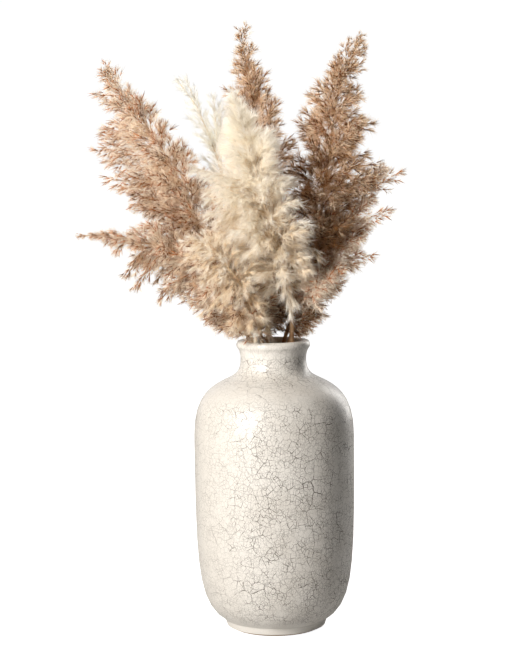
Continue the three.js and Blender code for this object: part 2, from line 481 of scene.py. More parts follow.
@dataclass(frozen=True)
class Strand:
    """Finish of hairs, husks or twigs. It runs from root to tip and from a deep to a pale tone.

    Attributes:
        name: The material's name.
        deep: Colours of the deepest tone at root and tip.
        pale: Colours of the palest tone at root and tip.
        glow: Share of the light that passes through.
        glow_colour: Colour of the light that passes through.
        roughness: Roughness at the deep and the pale tone.
    """

    name: str
    deep: tuple[Colour, Colour]
    pale: tuple[Colour, Colour]
    glow: float
    glow_colour: Colour
    roughness: tuple[float, float] = (0.75, 0.55)

    def material(self) -> bpy.types.Material:
        """Makes the material."""
        sheet = Sheet(bpy.data.materials.new(self.name))
        marks = sheet.node("ShaderNodeUVMap", {"uv_map": BAKE_MAP})
        parts = sheet.node("ShaderNodeSeparateXYZ", None, {0: sheet.wire(marks)})
        tone, along = sheet.wire(parts, "X"), sheet.wire(parts, "Y")
        deep = sheet.mix(along, *self.deep)
        pale = sheet.mix(along, *self.pale)
        colour = sheet.mix(tone, deep, pale)
        low, high = self.roughness
        shell = sheet.node(
            "ShaderNodeBsdfPrincipled",
            None,
            {"Base Color": colour, "Roughness": tone * (high - low) + low, "Specular IOR Level": 0.3},
        )
        through = sheet.node("ShaderNodeBsdfTranslucent", None, {"Color": linear(self.glow_colour)})
        both = sheet.node(
            "ShaderNodeMixShader", None, {0: self.glow, 1: sheet.wire(shell), 2: sheet.wire(through)}
        )
        return sheet.finish(sheet.wire(both))


# ---- Many small shapes in one mesh ----


class Heap:
    """Gathers thousands of small shapes into the arrays of one mesh."""

    def __init__(self) -> None:
        """Starts empty."""
        self.points: list[np.ndarray] = []
        self.faces: list[np.ndarray] = []
        self.marks: list[np.ndarray] = []
        self.filled = 0

    def add(self, points: np.ndarray, faces: np.ndarray, marks: np.ndarray) -> None:
        """Adds copies of one shape.

        Args:
            points: Corners in millimetres, (copies, corners, 3).
            faces: Triangles of one copy, (triangles, 3).
            marks: Tone and share of the length at each corner, (copies, corners, 2).
        """
        copies, corners = points.shape[:2]
        starts = self.filled + np.arange(copies) * corners
        self.points.append(points.reshape(-1, 3))
        self.faces.append((faces[None] + starts[:, None, None]).reshape(-1, 3))
        self.marks.append(marks.reshape(-1, 2))
        self.filled += copies * corners

    def triangles(self) -> int:
        """Counts the triangles so far."""
        return sum(len(faces) for faces in self.faces)

    def made(self, name: str) -> bpy.types.Object:
        """Makes the mesh object.

        Args:
            name: The piece's name.

        Returns:
            The piece, at the origin, in metres.
        """
        points = np.concatenate(self.points) * MM
        faces = np.concatenate(self.faces).astype(np.int32)
        marks = np.concatenate(self.marks)
        mesh = bpy.data.meshes.new(name)
        mesh.vertices.add(len(points))
        mesh.vertices.foreach_set("co", points.astype(np.float32).ravel())
        mesh.loops.add(faces.size)
        mesh.loops.foreach_set("vertex_index", faces.ravel())
        mesh.polygons.add(len(faces))
        mesh.polygons.foreach_set("loop_start", np.arange(0, faces.size, 3, dtype=np.int32))
        mesh.polygons.foreach_set("use_smooth", np.ones(len(faces), dtype=bool))
        mesh.update(calc_edges=True)
        layer = mesh.uv_layers.new(name=BAKE_MAP)
        layer.uv.foreach_set("vector", marks[faces.ravel()].astype(np.float32).ravel())
        piece = bpy.data.objects.new(name, mesh)
        bpy.context.scene.collection.objects.link(piece)
        return piece


@dataclass(frozen=True)
class Mould:
    """A small shape that is copied many times, foot at the origin, along +Z.

    Attributes:
        points: Its corners in millimetres.
        faces: Its triangles.
        along: Share of the length at each corner.
        sides: A small push of the tone at each corner, so that no face of the map is empty.
        tints: How much paler each hair or husk is than the others, at each corner.
    """

    points: np.ndarray
    faces: np.ndarray
    along: np.ndarray
    sides: np.ndarray
    tints: np.ndarray

    @classmethod
    def taken_from(cls, piece: bpy.types.Object) -> "Mould":
        """Takes the shape of a modelled object and removes the object."""
        points = np.array([vertex.co[:] for vertex in piece.data.vertices])
        faces = np.array([polygon.vertices[:] for polygon in piece.data.polygons])
        bpy.data.meshes.remove(piece.data)
        span = points[:, 2].max() - points[:, 2].min()
        along = (points[:, 2] - points[:, 2].min()) / span
        return cls(points, faces, along, np.sign(points[:, 0] + 1e-6), np.zeros(len(points)))

    @classmethod
    def joined(cls, parts: list["Mould"]) -> "Mould":
        """Joins several moulds in one."""
        starts = np.cumsum([0] + [len(part.points) for part in parts[:-1]])
        return cls(
            np.concatenate([part.points for part in parts]),
            np.concatenate([part.faces + start for part, start in zip(parts, starts)]),
            np.concatenate([part.along for part in parts]),
            np.concatenate([part.sides for part in parts]),
            np.concatenate([part.tints for part in parts]),
        )

    def tilted(self, lean: float, turn: float, size: float, tint: float) -> "Mould":
        """Leans the shape away from +Z.

        Args:
            lean: Angle from +Z, in radians.
            turn: Where it leans to, round +Z, in radians.
            size: Its new size as a share of the old one.
            tint: How much paler it is.

        Returns:
            The tilted shape.
        """
        turned = Matrix.Rotation(turn, 3, "Z")
        matrix = turned @ Matrix.Rotation(lean, 3, "Y") @ turned.transposed()
        points = self.points @ np.array(matrix).T * size
        return replace(self, points=points, tints=self.tints + tint)

    def strew(self, heap: Heap, sites: "Sites", tone_spread: float, rng: np.random.Generator) -> None:
        """Lays a copy at every site.

        Args:
            heap: Where the copies go.
            sites: Where they stand.
            tone_spread: How much the tone differs between copies.
            rng: Source of chance.
        """
        count = len(sites.places)
        if not count:
            return
        first = across(sites.headings, rng.uniform(0, 2 * math.pi, count))
        axes = np.stack([first, np.cross(sites.headings, first), sites.headings], axis=1)
        sizes = sites.sizes * rng.uniform(0.8, 1.2, count)
        points = sites.places[:, None] + sizes[:, None, None] * (self.points @ axes)
        tones = sites.tones + rng.normal(0, tone_spread, count)
        marks = np.empty((count, len(self.points), 2))
        marks[..., 0] = np.clip(tones[:, None] + self.tints, 0.03, 0.97) + self.sides * 0.004
        marks[..., 1] = 0.02 + 0.96 * self.along
        heap.add(points, self.faces, marks)


@dataclass
class Sites:
    """Places where spikelets or tufts of silk grow.

    Attributes:
        places: Their feet in millimetres.
        headings: Unit vectors along which they grow.
        sizes: Their sizes as shares of the usual one.
        tones: From 0, deep, to 1, pale.
        heights: Share of the plume's stalk from which each one's branch springs.
        outward: Share of the branch at which each one grows.
    """

    places: np.ndarray
    headings: np.ndarray
    sizes: np.ndarray
    tones: np.ndarray
    heights: np.ndarray
    outward: np.ndarray

    def only(self, which: np.ndarray) -> "Sites":
        """Keeps some of the sites."""
        return Sites(*(values[which] for values in vars(self).values()))

    def resized(self, factors: np.ndarray) -> "Sites":
        """Makes what grows there larger or smaller."""
        return replace(self, sizes=self.sizes * factors)


class Arcs:
    """Many cubic curves at once, by their control points of shape (count, 4, 3)."""

    def __init__(self, controls: np.ndarray) -> None:
        """Keeps the control points."""
        self.controls = controls

    def at(self, which: np.ndarray, share: np.ndarray) -> np.ndarray:
        """Places on the curves.

        Args:
            which: Number of the curve for each place.
            share: How far along it the place is, from 0 to 1.

        Returns:
            The places.
        """
        u = share[:, None]
        a, b, c, d = (self.controls[which, i] for i in range(4))
        return a * (1 - u) ** 3 + b * 3 * u * (1 - u) ** 2 + c * 3 * u**2 * (1 - u) + d * u**3

    def heading(self, which: np.ndarray, share: np.ndarray) -> np.ndarray:
        """Directions of the curves at the same kind of places."""
        u = share[:, None]
        a, b, c, d = (self.controls[which, i] for i in range(4))
        return unit((b - a) * (1 - u) ** 2 + (c - b) * 2 * u * (1 - u) + (d - c) * u**2)

    def tubes(self, heap: Heap, girths: np.ndarray, steps: int, sides: int, tones: np.ndarray) -> None:
        """Lays a closed tapering tube along every curve.

        Args:
            heap: Where the tubes go.
            girths: Radius of each tube at its root, in millimetres.
            steps: Rings of each tube before its tip.
            sides: Sides of each tube.
            tones: Tone of each tube.
        """
        count = len(self.controls)
        shares = np.linspace(0, 1, steps + 1)
        which = np.repeat(np.arange(count), steps + 1)
        flat = np.tile(shares, count)
        centres = self.at(which, flat).reshape(count, steps + 1, 3)
        headings = self.heading(which, flat).reshape(count, steps + 1, 3)
        aid = across(headings[:, 0], np.zeros(count))[:, None]
        first = unit(aid - headings * np.sum(aid * headings, axis=-1, keepdims=True))
        second = np.cross(headings, first)
        angles = np.arange(sides) * 2 * math.pi / sides
        radii = girths[:, None] * (1 - 0.72 * shares[None, :-1])
        ring = (
            first[:, :-1, None] * np.cos(angles)[:, None] + second[:, :-1, None] * np.sin(angles)[:, None]
        )
        rings = centres[:, :-1, None] + ring * radii[..., None, None]
        points = np.concatenate([rings.reshape(count, -1, 3), centres[:, -1:]], axis=1)
        marks = np.empty((count, points.shape[1], 2))
        wiggle = np.append(np.tile(np.cos(angles), steps), 0) * 0.004
        marks[..., 0] = np.clip(tones, 0.03, 0.97)[:, None] + wiggle
        marks[..., 1] = 0.02 + 0.96 * np.append(np.repeat(shares[:-1], sides), 1)
        heap.add(points, self._tube_faces(steps, sides), marks)

    @staticmethod
    def _tube_faces(steps: int, sides: int) -> np.ndarray:
        """Triangles of one tube: its wall, its pointed tip and its closed root."""
        faces = []
        for step in range(steps - 1):
            for side in range(sides):
                a, b = step * sides + side, step * sides + (side + 1) % sides
                faces += [(a, b, b + sides), (a, b + sides, a + sides)]
        last = (steps - 1) * sides
        faces += [(last + side, last + (side + 1) % sides, steps * sides) for side in range(sides)]
        faces += [(0, side + 1, side) for side in range(1, sides - 1)]
        return np.array(faces)


# ---- Things modelled once ----


@dataclass(frozen=True)
class Husk:
    """One dry scale of a spikelet: a slender closed shell, bowed and pointed.

    Attributes:
        length: Its length in millimetres.
        width: Its greatest width.
        bow: How far its tip bends over.
    """

    length: float
    width: float
    bow: float

    def mould(self) -> Mould:
        """Models the husk from a three-sided cone."""
        deselect_everything()
        bpy.ops.mesh.primitive_cone_add(
            vertices=3,
            radius1=self.width / 2,
            radius2=0,
            depth=self.length,
            location=(0, 0, self.length / 2),
        )
        husk = bpy.context.object
        bpy.ops.object.transform_apply(location=True)
        self._move_corner(husk, Vector((0, 0, self.length)), Vector((self.bow, 0, 0)))
        return Mould.taken_from(husk)

    @staticmethod
    def _move_corner(piece: bpy.types.Object, corner: Vector, move: Vector) -> None:
        """Moves the corner that lies at a place."""
        bpy.ops.object.mode_set(mode="EDIT")
        bpy.ops.mesh.select_mode(type="VERT")
        shape = bmesh.from_edit_mesh(piece.data)
        for vertex in shape.verts:
            vertex.select = (vertex.co - corner).length < 1e-3
        shape.select_flush_mode()
        bmesh.update_edit_mesh(piece.data)
        bpy.ops.transform.translate(value=move)
        bpy.ops.object.mode_set(mode="OBJECT")


@dataclass(frozen=True)
class Spikelet:
    """A small fork of husks.

    Attributes:
        husk: Its husk.
        husks: How many husks it has.
        opening: Least and greatest angle of a husk from the middle, in degrees.
        variants: How many different spikelets are made.
    """

    husk: Husk
    husks: int
    opening: tuple[float, float]
    variants: int = 6

    def moulds(self, rng: np.random.Generator) -> list[Mould]:
        """Makes the different spikelets."""
        single = self.husk.mould()
        made = []
        for _ in range(self.variants):
            start = rng.uniform(0, 2 * math.pi)
            parts = []
            for number in range(self.husks):
                lean = math.radians(rng.uniform(*self.opening))
                turn = start + number * 2 * math.pi / self.husks + rng.normal(0, 0.35)
                parts.append(single.tilted(lean, turn, rng.uniform(0.7, 1.1), rng.normal(0, 0.16)))
            made.append(Mould.joined(parts))
        return made


@dataclass(frozen=True)
class SilkTuft:
    """A tuft of fine hairs. Each hair is a ribbon of two triangles, bent at its middle.

    Attributes:
        hairs: How many hairs it has.
        length: Shortest and longest hair, in millimetres.
        width: Width of the finest and the widest hair at its middle.
        spread: Least and greatest angle from the tuft's middle, in degrees.
        curl: How much a hair bends outwards at its middle, in radians.
        base: Length of the stretch on which the hairs are rooted.
        tint_spread: How much hairs of one tuft differ in tone.
        variants: How many different tufts are made.
    """

    hairs: int
    length: tuple[float, float]
    width: tuple[float, float]
    spread: tuple[float, float]
    curl: float = 0.35
    base: float = 1.5
    tint_spread: float = 0.36
    variants: int = 10

    def moulds(self, rng: np.random.Generator) -> list[Mould]:
        """Makes the different tufts."""
        return [self._one(rng) for _ in range(self.variants)]

    def _one(self, rng: np.random.Generator) -> Mould:
        """Makes one tuft."""
        count = self.hairs
        turns = np.arange(count) * GOLDEN_ANGLE + rng.normal(0, 0.4, count)
        leans = np.radians(rng.uniform(*self.spread, count))
        lengths = rng.uniform(*self.length, count)

        def toward(lean: np.ndarray) -> np.ndarray:
            """Directions that lean away from +Z."""
            flat = np.sin(lean)
            return np.stack([flat * np.cos(turns), flat * np.sin(turns), np.cos(lean)], axis=-1)

        roots = np.zeros((count, 3))
        roots[:, 2] = rng.uniform(-self.base, self.base, count)
        halves = lengths[:, None] / 2
        middles = roots + toward(leans * 0.8) * halves
        tips = middles + toward(leans + self.curl * rng.uniform(0.2, 1.4, count)) * halves
        finest, widest = self.width
        girths = finest * (widest / finest) ** (rng.uniform(0, 1, count) ** 1.6)
        halfway = across(toward(leans), rng.uniform(0, 2 * math.pi, count)) * girths[:, None] / 2
        points = np.stack([roots, middles - halfway, middles + halfway, tips], axis=1)
        faces = np.array([(0, 1, 2), (1, 3, 2)])[None] + 4 * np.arange(count)[:, None, None]
        along = np.tile([0.0, 0.5, 0.5, 1.0], count)
        sides = np.tile([0.0, -1.0, 1.0, 0.0], count)
        tints = np.repeat(rng.normal(0, self.tint_spread, count), 4)
        return Mould(points.reshape(-1, 3), faces.reshape(-1, 3), along, sides, tints)


# ---- The vase ----


@dataclass
class Vase:
    """The ceramic vase, turned from its section.

    Each stretch of the section holds the two handles and the end of a curve, as (radius, height).
    """

    base_radius: float = 47.0
    foot_radius: float = 54.6
    foot_height: float = 9.4
    foot_bevel: float = 2.5
    body_radius: float = 84.3
    body_top: float = 205.0
    neck_radius: float = 34.8
    neck_height: float = 267.5
    neck_turn_radius: float = 43.5
    lip_radius: float = 38.5
    lip_bottom: float = 289.0
    height: float = 305.0
    wall: float = 5.0
    floor: float = 8.0
    turns: int = 168
    curve_steps: int = 9
    finish: CrackleGlaze = field(default_factory=CrackleGlaze)

    def section(self) -> list[tuple[tuple[float, float], ...]]:
        """Half of the section, from the middle of the base up the outside and down the inside.

        Returns:
            Stretches of three (radius, height) pairs, or of one pair where it is straight. The
            first stretch is the start.
        """
        inner_body = self.body_radius - self.wall
        inner_neck = self.neck_radius - self.wall
        top = self.height
        return [
            ((0.0, 0.0),),
            ((self.base_radius, 0.0),),
            ((self.foot_radius - self.foot_bevel, self.foot_bevel),),
            ((self.foot_radius, self.foot_height),),
            ((83.2, 26.6), (self.body_radius, 63.9), (self.body_radius, self.body_top)),
            ((self.body_radius, 253.8), (59.7, 258.6), (self.neck_turn_radius, self.neck_height)),
            ((34.2, 273.0), (self.neck_radius - 0.6, 282.0), (self.neck_radius, self.lip_bottom)),
            ((35.6, 293.5), (36.8, 296.0), (self.lip_radius, 298.0)),
            ((39.7, 300.5), (self.lip_radius, top), (35.0, top)),
            ((32.5, top), (31.0, 302.5), (30.4, 297.0)),
            ((inner_neck, 290.0), (inner_neck - 0.4, 273.0), (self.neck_turn_radius - 3, 263.0)),
            ((56.5, 253.8), (inner_body, 249.0), (inner_body, self.body_top - 3)),
            ((inner_body, 66.0), (78.5, 31.0), (self.foot_radius - 2, self.floor + 6)),
            ((49.5, self.floor), (49.5, self.floor), (self.base_radius, self.floor)),
            ((0.0, self.floor),),
        ]

    def _section_curve(self) -> bpy.types.Object:
        """Draws the section as a curve in the plane of X and Z."""
        deselect_everything()
        bpy.ops.curve.primitive_bezier_curve_add()
        curve = bpy.context.object
        stretches = self.section()
        spline = curve.data.splines[0]
        spline.bezier_points.add(len(stretches) - len(spline.bezier_points))
        curve.data.resolution_u = self.curve_steps
        for point in spline.bezier_points:
            point.handle_left_type = point.handle_right_type = "FREE"
        for number, stretch in enumerate(stretches):
            here = spline.bezier_points[number]
            here.co = self._upright(stretch[-1])
            here.handle_left = here.handle_right = here.co
            if len(stretch) > 1:
                spline.bezier_points[number - 1].handle_right = self._upright(stretch[0])
                here.handle_left = self._upright(stretch[1])
        return curve

    @staticmethod
    def _upright(pair: tuple[float, float]) -> Vector:
        """Stands a (radius, height) pair up in the frame."""
        return Vector((pair[0] * MM, 0.0, pair[1] * MM))

    def build(self) -> bpy.types.Object:
        """Spins the section round the axis and closes the seam and both poles."""
        curve = self._section_curve()
        bpy.ops.object.convert(target="MESH")
        vase = bpy.context.object
        vase.name = vase.data.name = "vase_glazed"
        bpy.ops.object.mode_set(mode="EDIT")
        bpy.ops.mesh.select_all(action="SELECT")
        bpy.ops.mesh.spin(
            steps=self.turns, angle=2 * math.pi, center=(0.0, 0.0, 0.0), axis=(0.0, 0.0, 1.0)
        )
        bpy.ops.mesh.select_all(action="SELECT")
        bpy.ops.mesh.remove_doubles(threshold=0.02 * MM)
        bpy.ops.mesh.normals_make_consistent(inside=False)
        bpy.ops.object.mode_set(mode="OBJECT")
        bpy.ops.object.shade_smooth_by_angle(angle=math.radians(28))
        return vase

    def dress(self, vase: bpy.types.Object) -> None:
        """Glazes the vase and sets it in the frame."""
        vase.data.materials.clear()
        vase.data.materials.append(self.finish.material())
        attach(vase, "root")
        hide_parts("vase")


# ---- The grasses ----


class Course:
    """The line of a grass from its cut end on the vase's floor through the mouth to its tip."""

    SPAN_STEPS = 24

    def __init__(self, knots: np.ndarray) -> None:
        """Draws a centripetal spline through the knots, as the CAD model does.

        Args:
            knots: Places that the line passes, in millimetres.
        """
        knots = np.vstack([2 * knots[0] - knots[1], knots, 2 * knots[-1] - knots[-2]])
        pieces = [self._span(knots[i : i + 4]) for i in range(len(knots) - 3)]
        self.points = np.vstack([*pieces, knots[-2]])
        steps = np.linalg.norm(np.diff(self.points, axis=0), axis=1)
        self.lengths = np.concatenate([[0], np.cumsum(steps)])
        self.whole = self.lengths[-1]

    def _span(self, four: np.ndarray) -> np.ndarray:
        """Places between the second and the third of four knots."""
        gaps = np.sqrt(np.linalg.norm(np.diff(four, axis=0), axis=1))
        a, b, c, d = four
        leave = (b - a) / gaps[0] - (c - a) / (gaps[0] + gaps[1]) + (c - b) / gaps[1]
        arrive = (c - b) / gaps[1] - (d - b) / (gaps[1] + gaps[2]) + (d - c) / gaps[2]
        leave, arrive = leave * gaps[1], arrive * gaps[1]
        u = np.linspace(0, 1, self.SPAN_STEPS, endpoint=False)[:, None]
        cube = 2 * b - 2 * c + leave + arrive
        square = -3 * b + 3 * c - 2 * leave - arrive
        return b + leave * u + square * u**2 + cube * u**3

    def at(self, lengths: np.ndarray) -> np.ndarray:
        """Places at lengths along the line."""
        return np.stack([np.interp(lengths, self.lengths, self.points[:, i]) for i in range(3)], axis=-1)

    def heading(self, lengths: np.ndarray) -> np.ndarray:
        """Directions at lengths along the line."""
        step = 2.0
        return unit(self.at(np.minimum(lengths + step, self.whole)) - self.at(lengths - step))


class PlumeKind(Enum):
    """The two kinds of flower plume."""

    PAMPAS = "pampas"
    REED = "reed"


@dataclass(frozen=True)
class Side:
    """How a plume's branches stand on one side, at five stations from its foot to its tip.

    Attributes:
        reach: Lengths of the branches in millimetres.
        lean: Angles between branch and stalk in degrees.
    """

    reach: Stations
    lean: Stations


@dataclass(frozen=True)
class Sprig:
    """A single branch that stands out of the plume.

    Attributes:
        height: Share of the stalk at which it springs.
        end: Where it ends, in millimetres.
    """

    height: float
    end: Place


@dataclass(frozen=True)
class PlumeMakeup:
    """What the plumes of one kind are made of.

    Attributes:
        spikelet: Its fork of husks.
        tuft: Its tuft of silk.
        twig_step: Distance between twigs along a branch.
        twig_reach: Length of a twig at a branch's root, as a share of the branch.
        twig_lean: Angle between twig and branch in degrees.
        site_step: Distance between tufts along a twig or branch.
        site_lean: Angle between a tuft and its twig, in radians.
        sparser_outward: How much shorter the silk is at a branch's end than at its root.
        paler_outward_and_shaded_inside: How much paler spikelets and silk are at a branch's end: partly their own
            colour, partly painted light at the plume's edges and painted shade deep inside it.
        husk_tone: Tone of the spikelets: a share of the silk's tone, and what is added to it.
        husks_from: Share of a branch from which it bears spikelets, roughly.
        bough_girth: Radius of a branch at its root.
        twig_girth: Radius of a twig at its root.
        sag: How much spikelets and silk hang.
        branch_tones: How much branches differ in tone.
        silk_tones: How much tufts of one branch differ in tone.
    """

    spikelet: Spikelet
    tuft: SilkTuft
    twig_step: float
    twig_reach: float
    twig_lean: float
    site_step: float
    site_lean: float
    sparser_outward: float
    paler_outward_and_shaded_inside: float
    husk_tone: tuple[float, float]
    husks_from: float
    bough_girth: float
    twig_girth: float
    sag: float
    branch_tones: float
    silk_tones: float


MAKEUPS = {
    PlumeKind.REED: PlumeMakeup(
        spikelet=Spikelet(Husk(10.6, 1.15, 1.1), husks=3, opening=(3.0, 24.0)),
        tuft=SilkTuft(hairs=19, length=(8.0, 16.5), width=(0.2, 0.82), spread=(5.0, 52.0)),
        twig_step=4.4,
        twig_reach=0.32,
        twig_lean=32.0,
        site_step=4.7,
        site_lean=0.45,
        sparser_outward=0.34,
        paler_outward_and_shaded_inside=0.7,
        husk_tone=(0.6, -0.16),
        husks_from=0.36,
        bough_girth=0.5,
        twig_girth=0.26,
        sag=0.2,
        branch_tones=0.42,
        silk_tones=0.36,
    ),
    PlumeKind.PAMPAS: PlumeMakeup(
        spikelet=Spikelet(Husk(10.0, 0.6, 1.0), husks=2, opening=(4.0, 20.0)),
        tuft=SilkTuft(hairs=26, length=(9.5, 18.5), width=(0.18, 0.6), spread=(2.0, 24.0)),
        twig_step=4.8,
        twig_reach=0.3,
        twig_lean=24.0,
        site_step=5.2,
        site_lean=0.32,
        sparser_outward=0.12,
        paler_outward_and_shaded_inside=0.55,
        husk_tone=(0.8, 0.0),
        husks_from=0.0,
        bough_girth=0.45,
        twig_girth=0.24,
        sag=0.24,
        branch_tones=0.28,
        silk_tones=0.28,
    ),
}


@dataclass(frozen=True)
class PlumeLook:
    """The three finishes of a plume.

    Attributes:
        silk: Finish of the hairs.
        husk: Finish of the spikelets.
        twig: Finish of stalk, branches and twigs.
    """

    silk: Strand
    husk: Strand
    twig: Strand


@dataclass(frozen=True)
class Grass:
    """One cut grass: its line, its stem and its plume.

    Attributes:
        name: Its name in the CAD model.
        kind: Kind of plume.
        foot: Where its cut end stands, as (x, y).
        mouth: Where it passes the vase's mouth, as (x, y).
        route: The line above the mouth.
        thickness: Thickness of the stem.
        bare: How far the stem runs bare above the mouth.
        skirt: How far below the plume's foot its lowest branches spring.
        tip_margin: How far the stalk ends before the line does, to leave room for the last tufts.
        left: Branches on its left side, or lower side where it bends to the left.
        right: Branches on its right side.
        deep: Branches towards the front and the back.
        clumps: How many clumps of branches it has.
        clump_size: Branches in each clump.
        droop: How much branches sag at their ends, as a share of their length.
        fluff: Length of its silk as a share of the usual one.
        husked: Up to which share of the stalk the spikelets show their husks.
        tone: Tone at the plume's foot, at a quarter of its height and at its tip. Besides the plume's own colour it
            holds painted shade, low at the foot in the shaded mouth, and painted light, raised on plumes that others
            shade.
        look: Its finishes.
        seed: Seed of its chance.
        tip_size: Size of spikelets and silk at its tip as a share of the usual one.
        sprigs: Branches that stand out.
    """

    name: str
    kind: PlumeKind
    foot: tuple[float, float]
    mouth: tuple[float, float]
    route: tuple[Place, ...]
    thickness: float
    bare: float
    skirt: float
    tip_margin: float
    left: Side
    right: Side
    deep: Side
    clumps: int
    clump_size: int
    droop: float
    fluff: float
    husked: float
    tone: tuple[float, float, float]
    look: PlumeLook
    seed: int
    tip_size: float = 0.58
    sprigs: tuple[Sprig, ...] = ()

    MOUTH_HEIGHT = 302.0
    REST_HEIGHT = 9.0

    def course(self) -> Course:
        """The grass's line."""
        cut_end = np.array([*self.foot, self.REST_HEIGHT])
        at_mouth = np.array([*self.mouth, self.MOUTH_HEIGHT])
        return Course(np.vstack([cut_end, (cut_end + at_mouth) / 2, at_mouth, self.route]))

    def plume_start(self) -> float:
        """Length along the line at which stem and plume meet."""
        below = math.dist((*self.foot, self.REST_HEIGHT), (*self.mouth, self.MOUTH_HEIGHT))
        return below + self.bare


@dataclass
class Stem:
    """The bare cut stem of a grass, with its joints."""

    grass: Grass
    ring_step: float = 3.0
    joint_step: float = 74.0
    joint_rise: float = 0.16
    joint_width: float = 2.4

    def build(self) -> bpy.types.Object:
        """Draws the stem as a curve with a round section and makes it a closed mesh."""
        course, end = self.grass.course(), self.grass.plume_start()
        lengths = np.linspace(0, end, int(end / self.ring_step))
        deselect_everything()
        bpy.ops.curve.primitive_nurbs_path_add()
        curve = bpy.context.object
        curve.data.splines.clear()
        spline = curve.data.splines.new("POLY")
        spline.points.add(len(lengths) - 1)
        places = course.at(lengths) * MM
        spline.points.foreach_set("co", np.column_stack([places, np.ones(len(places))]).ravel())
        spline.points.foreach_set("radius", self._swelling(lengths))
        curve.data.dimensions = "3D"
        curve.data.bevel_depth = self.grass.thickness / 2 * MM
        curve.data.bevel_resolution = 3
        curve.data.use_fill_caps = True
        bpy.ops.object.convert(target="MESH")
        stem = bpy.context.object
        stem.name = stem.data.name = f"culm_{self.grass.name}"
        bpy.ops.object.mode_set(mode="EDIT")
        bpy.ops.mesh.select_all(action="SELECT")
        bpy.ops.mesh.normals_make_consistent(inside=False)
        bpy.ops.object.mode_set(mode="OBJECT")
        bpy.ops.object.shade_smooth_by_angle(angle=math.radians(50))
        return stem

    def _swelling(self, lengths: np.ndarray) -> np.ndarray:
        """Thickness along the stem as a share of the usual one: it swells at each joint."""
        offset = 20 + (self.grass.seed * 13) % 40
        away = (lengths - offset) % self.joint_step
        away = np.minimum(away, self.joint_step - away)
        sheath = 1 - 0.08 * (((lengths - offset) % self.joint_step) / self.joint_step)
        return sheath + self.joint_rise * np.exp(-((away / self.joint_width) ** 2))

    def dress(self, stem: bpy.types.Object, finish: bpy.types.Material) -> None:
        """Gives the stem its finish and sets it in the frame."""
        stem.data.materials.clear()
        stem.data.materials.append(finish)
        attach(stem, "root")
        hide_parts(f"stem_{self.grass.name}")


@dataclass
class Boughs:
    """The branches of a plume.

    Attributes:
        arcs: Their curves.
        reach: Their lengths in millimetres.
        heights: Share of the stalk at which each springs.
    """

    arcs: Arcs
    reach: np.ndarray
    heights: np.ndarray


@dataclass
class Twigs:
    """The twigs on the branches of a plume.

    Attributes:
        arcs: Their curves.
        reach: Their lengths in millimetres.
        host: Number of the branch of each.
        outward: Share of the branch at which each springs.
    """

    arcs: Arcs
    reach: np.ndarray
    host: np.ndarray
    outward: np.ndarray


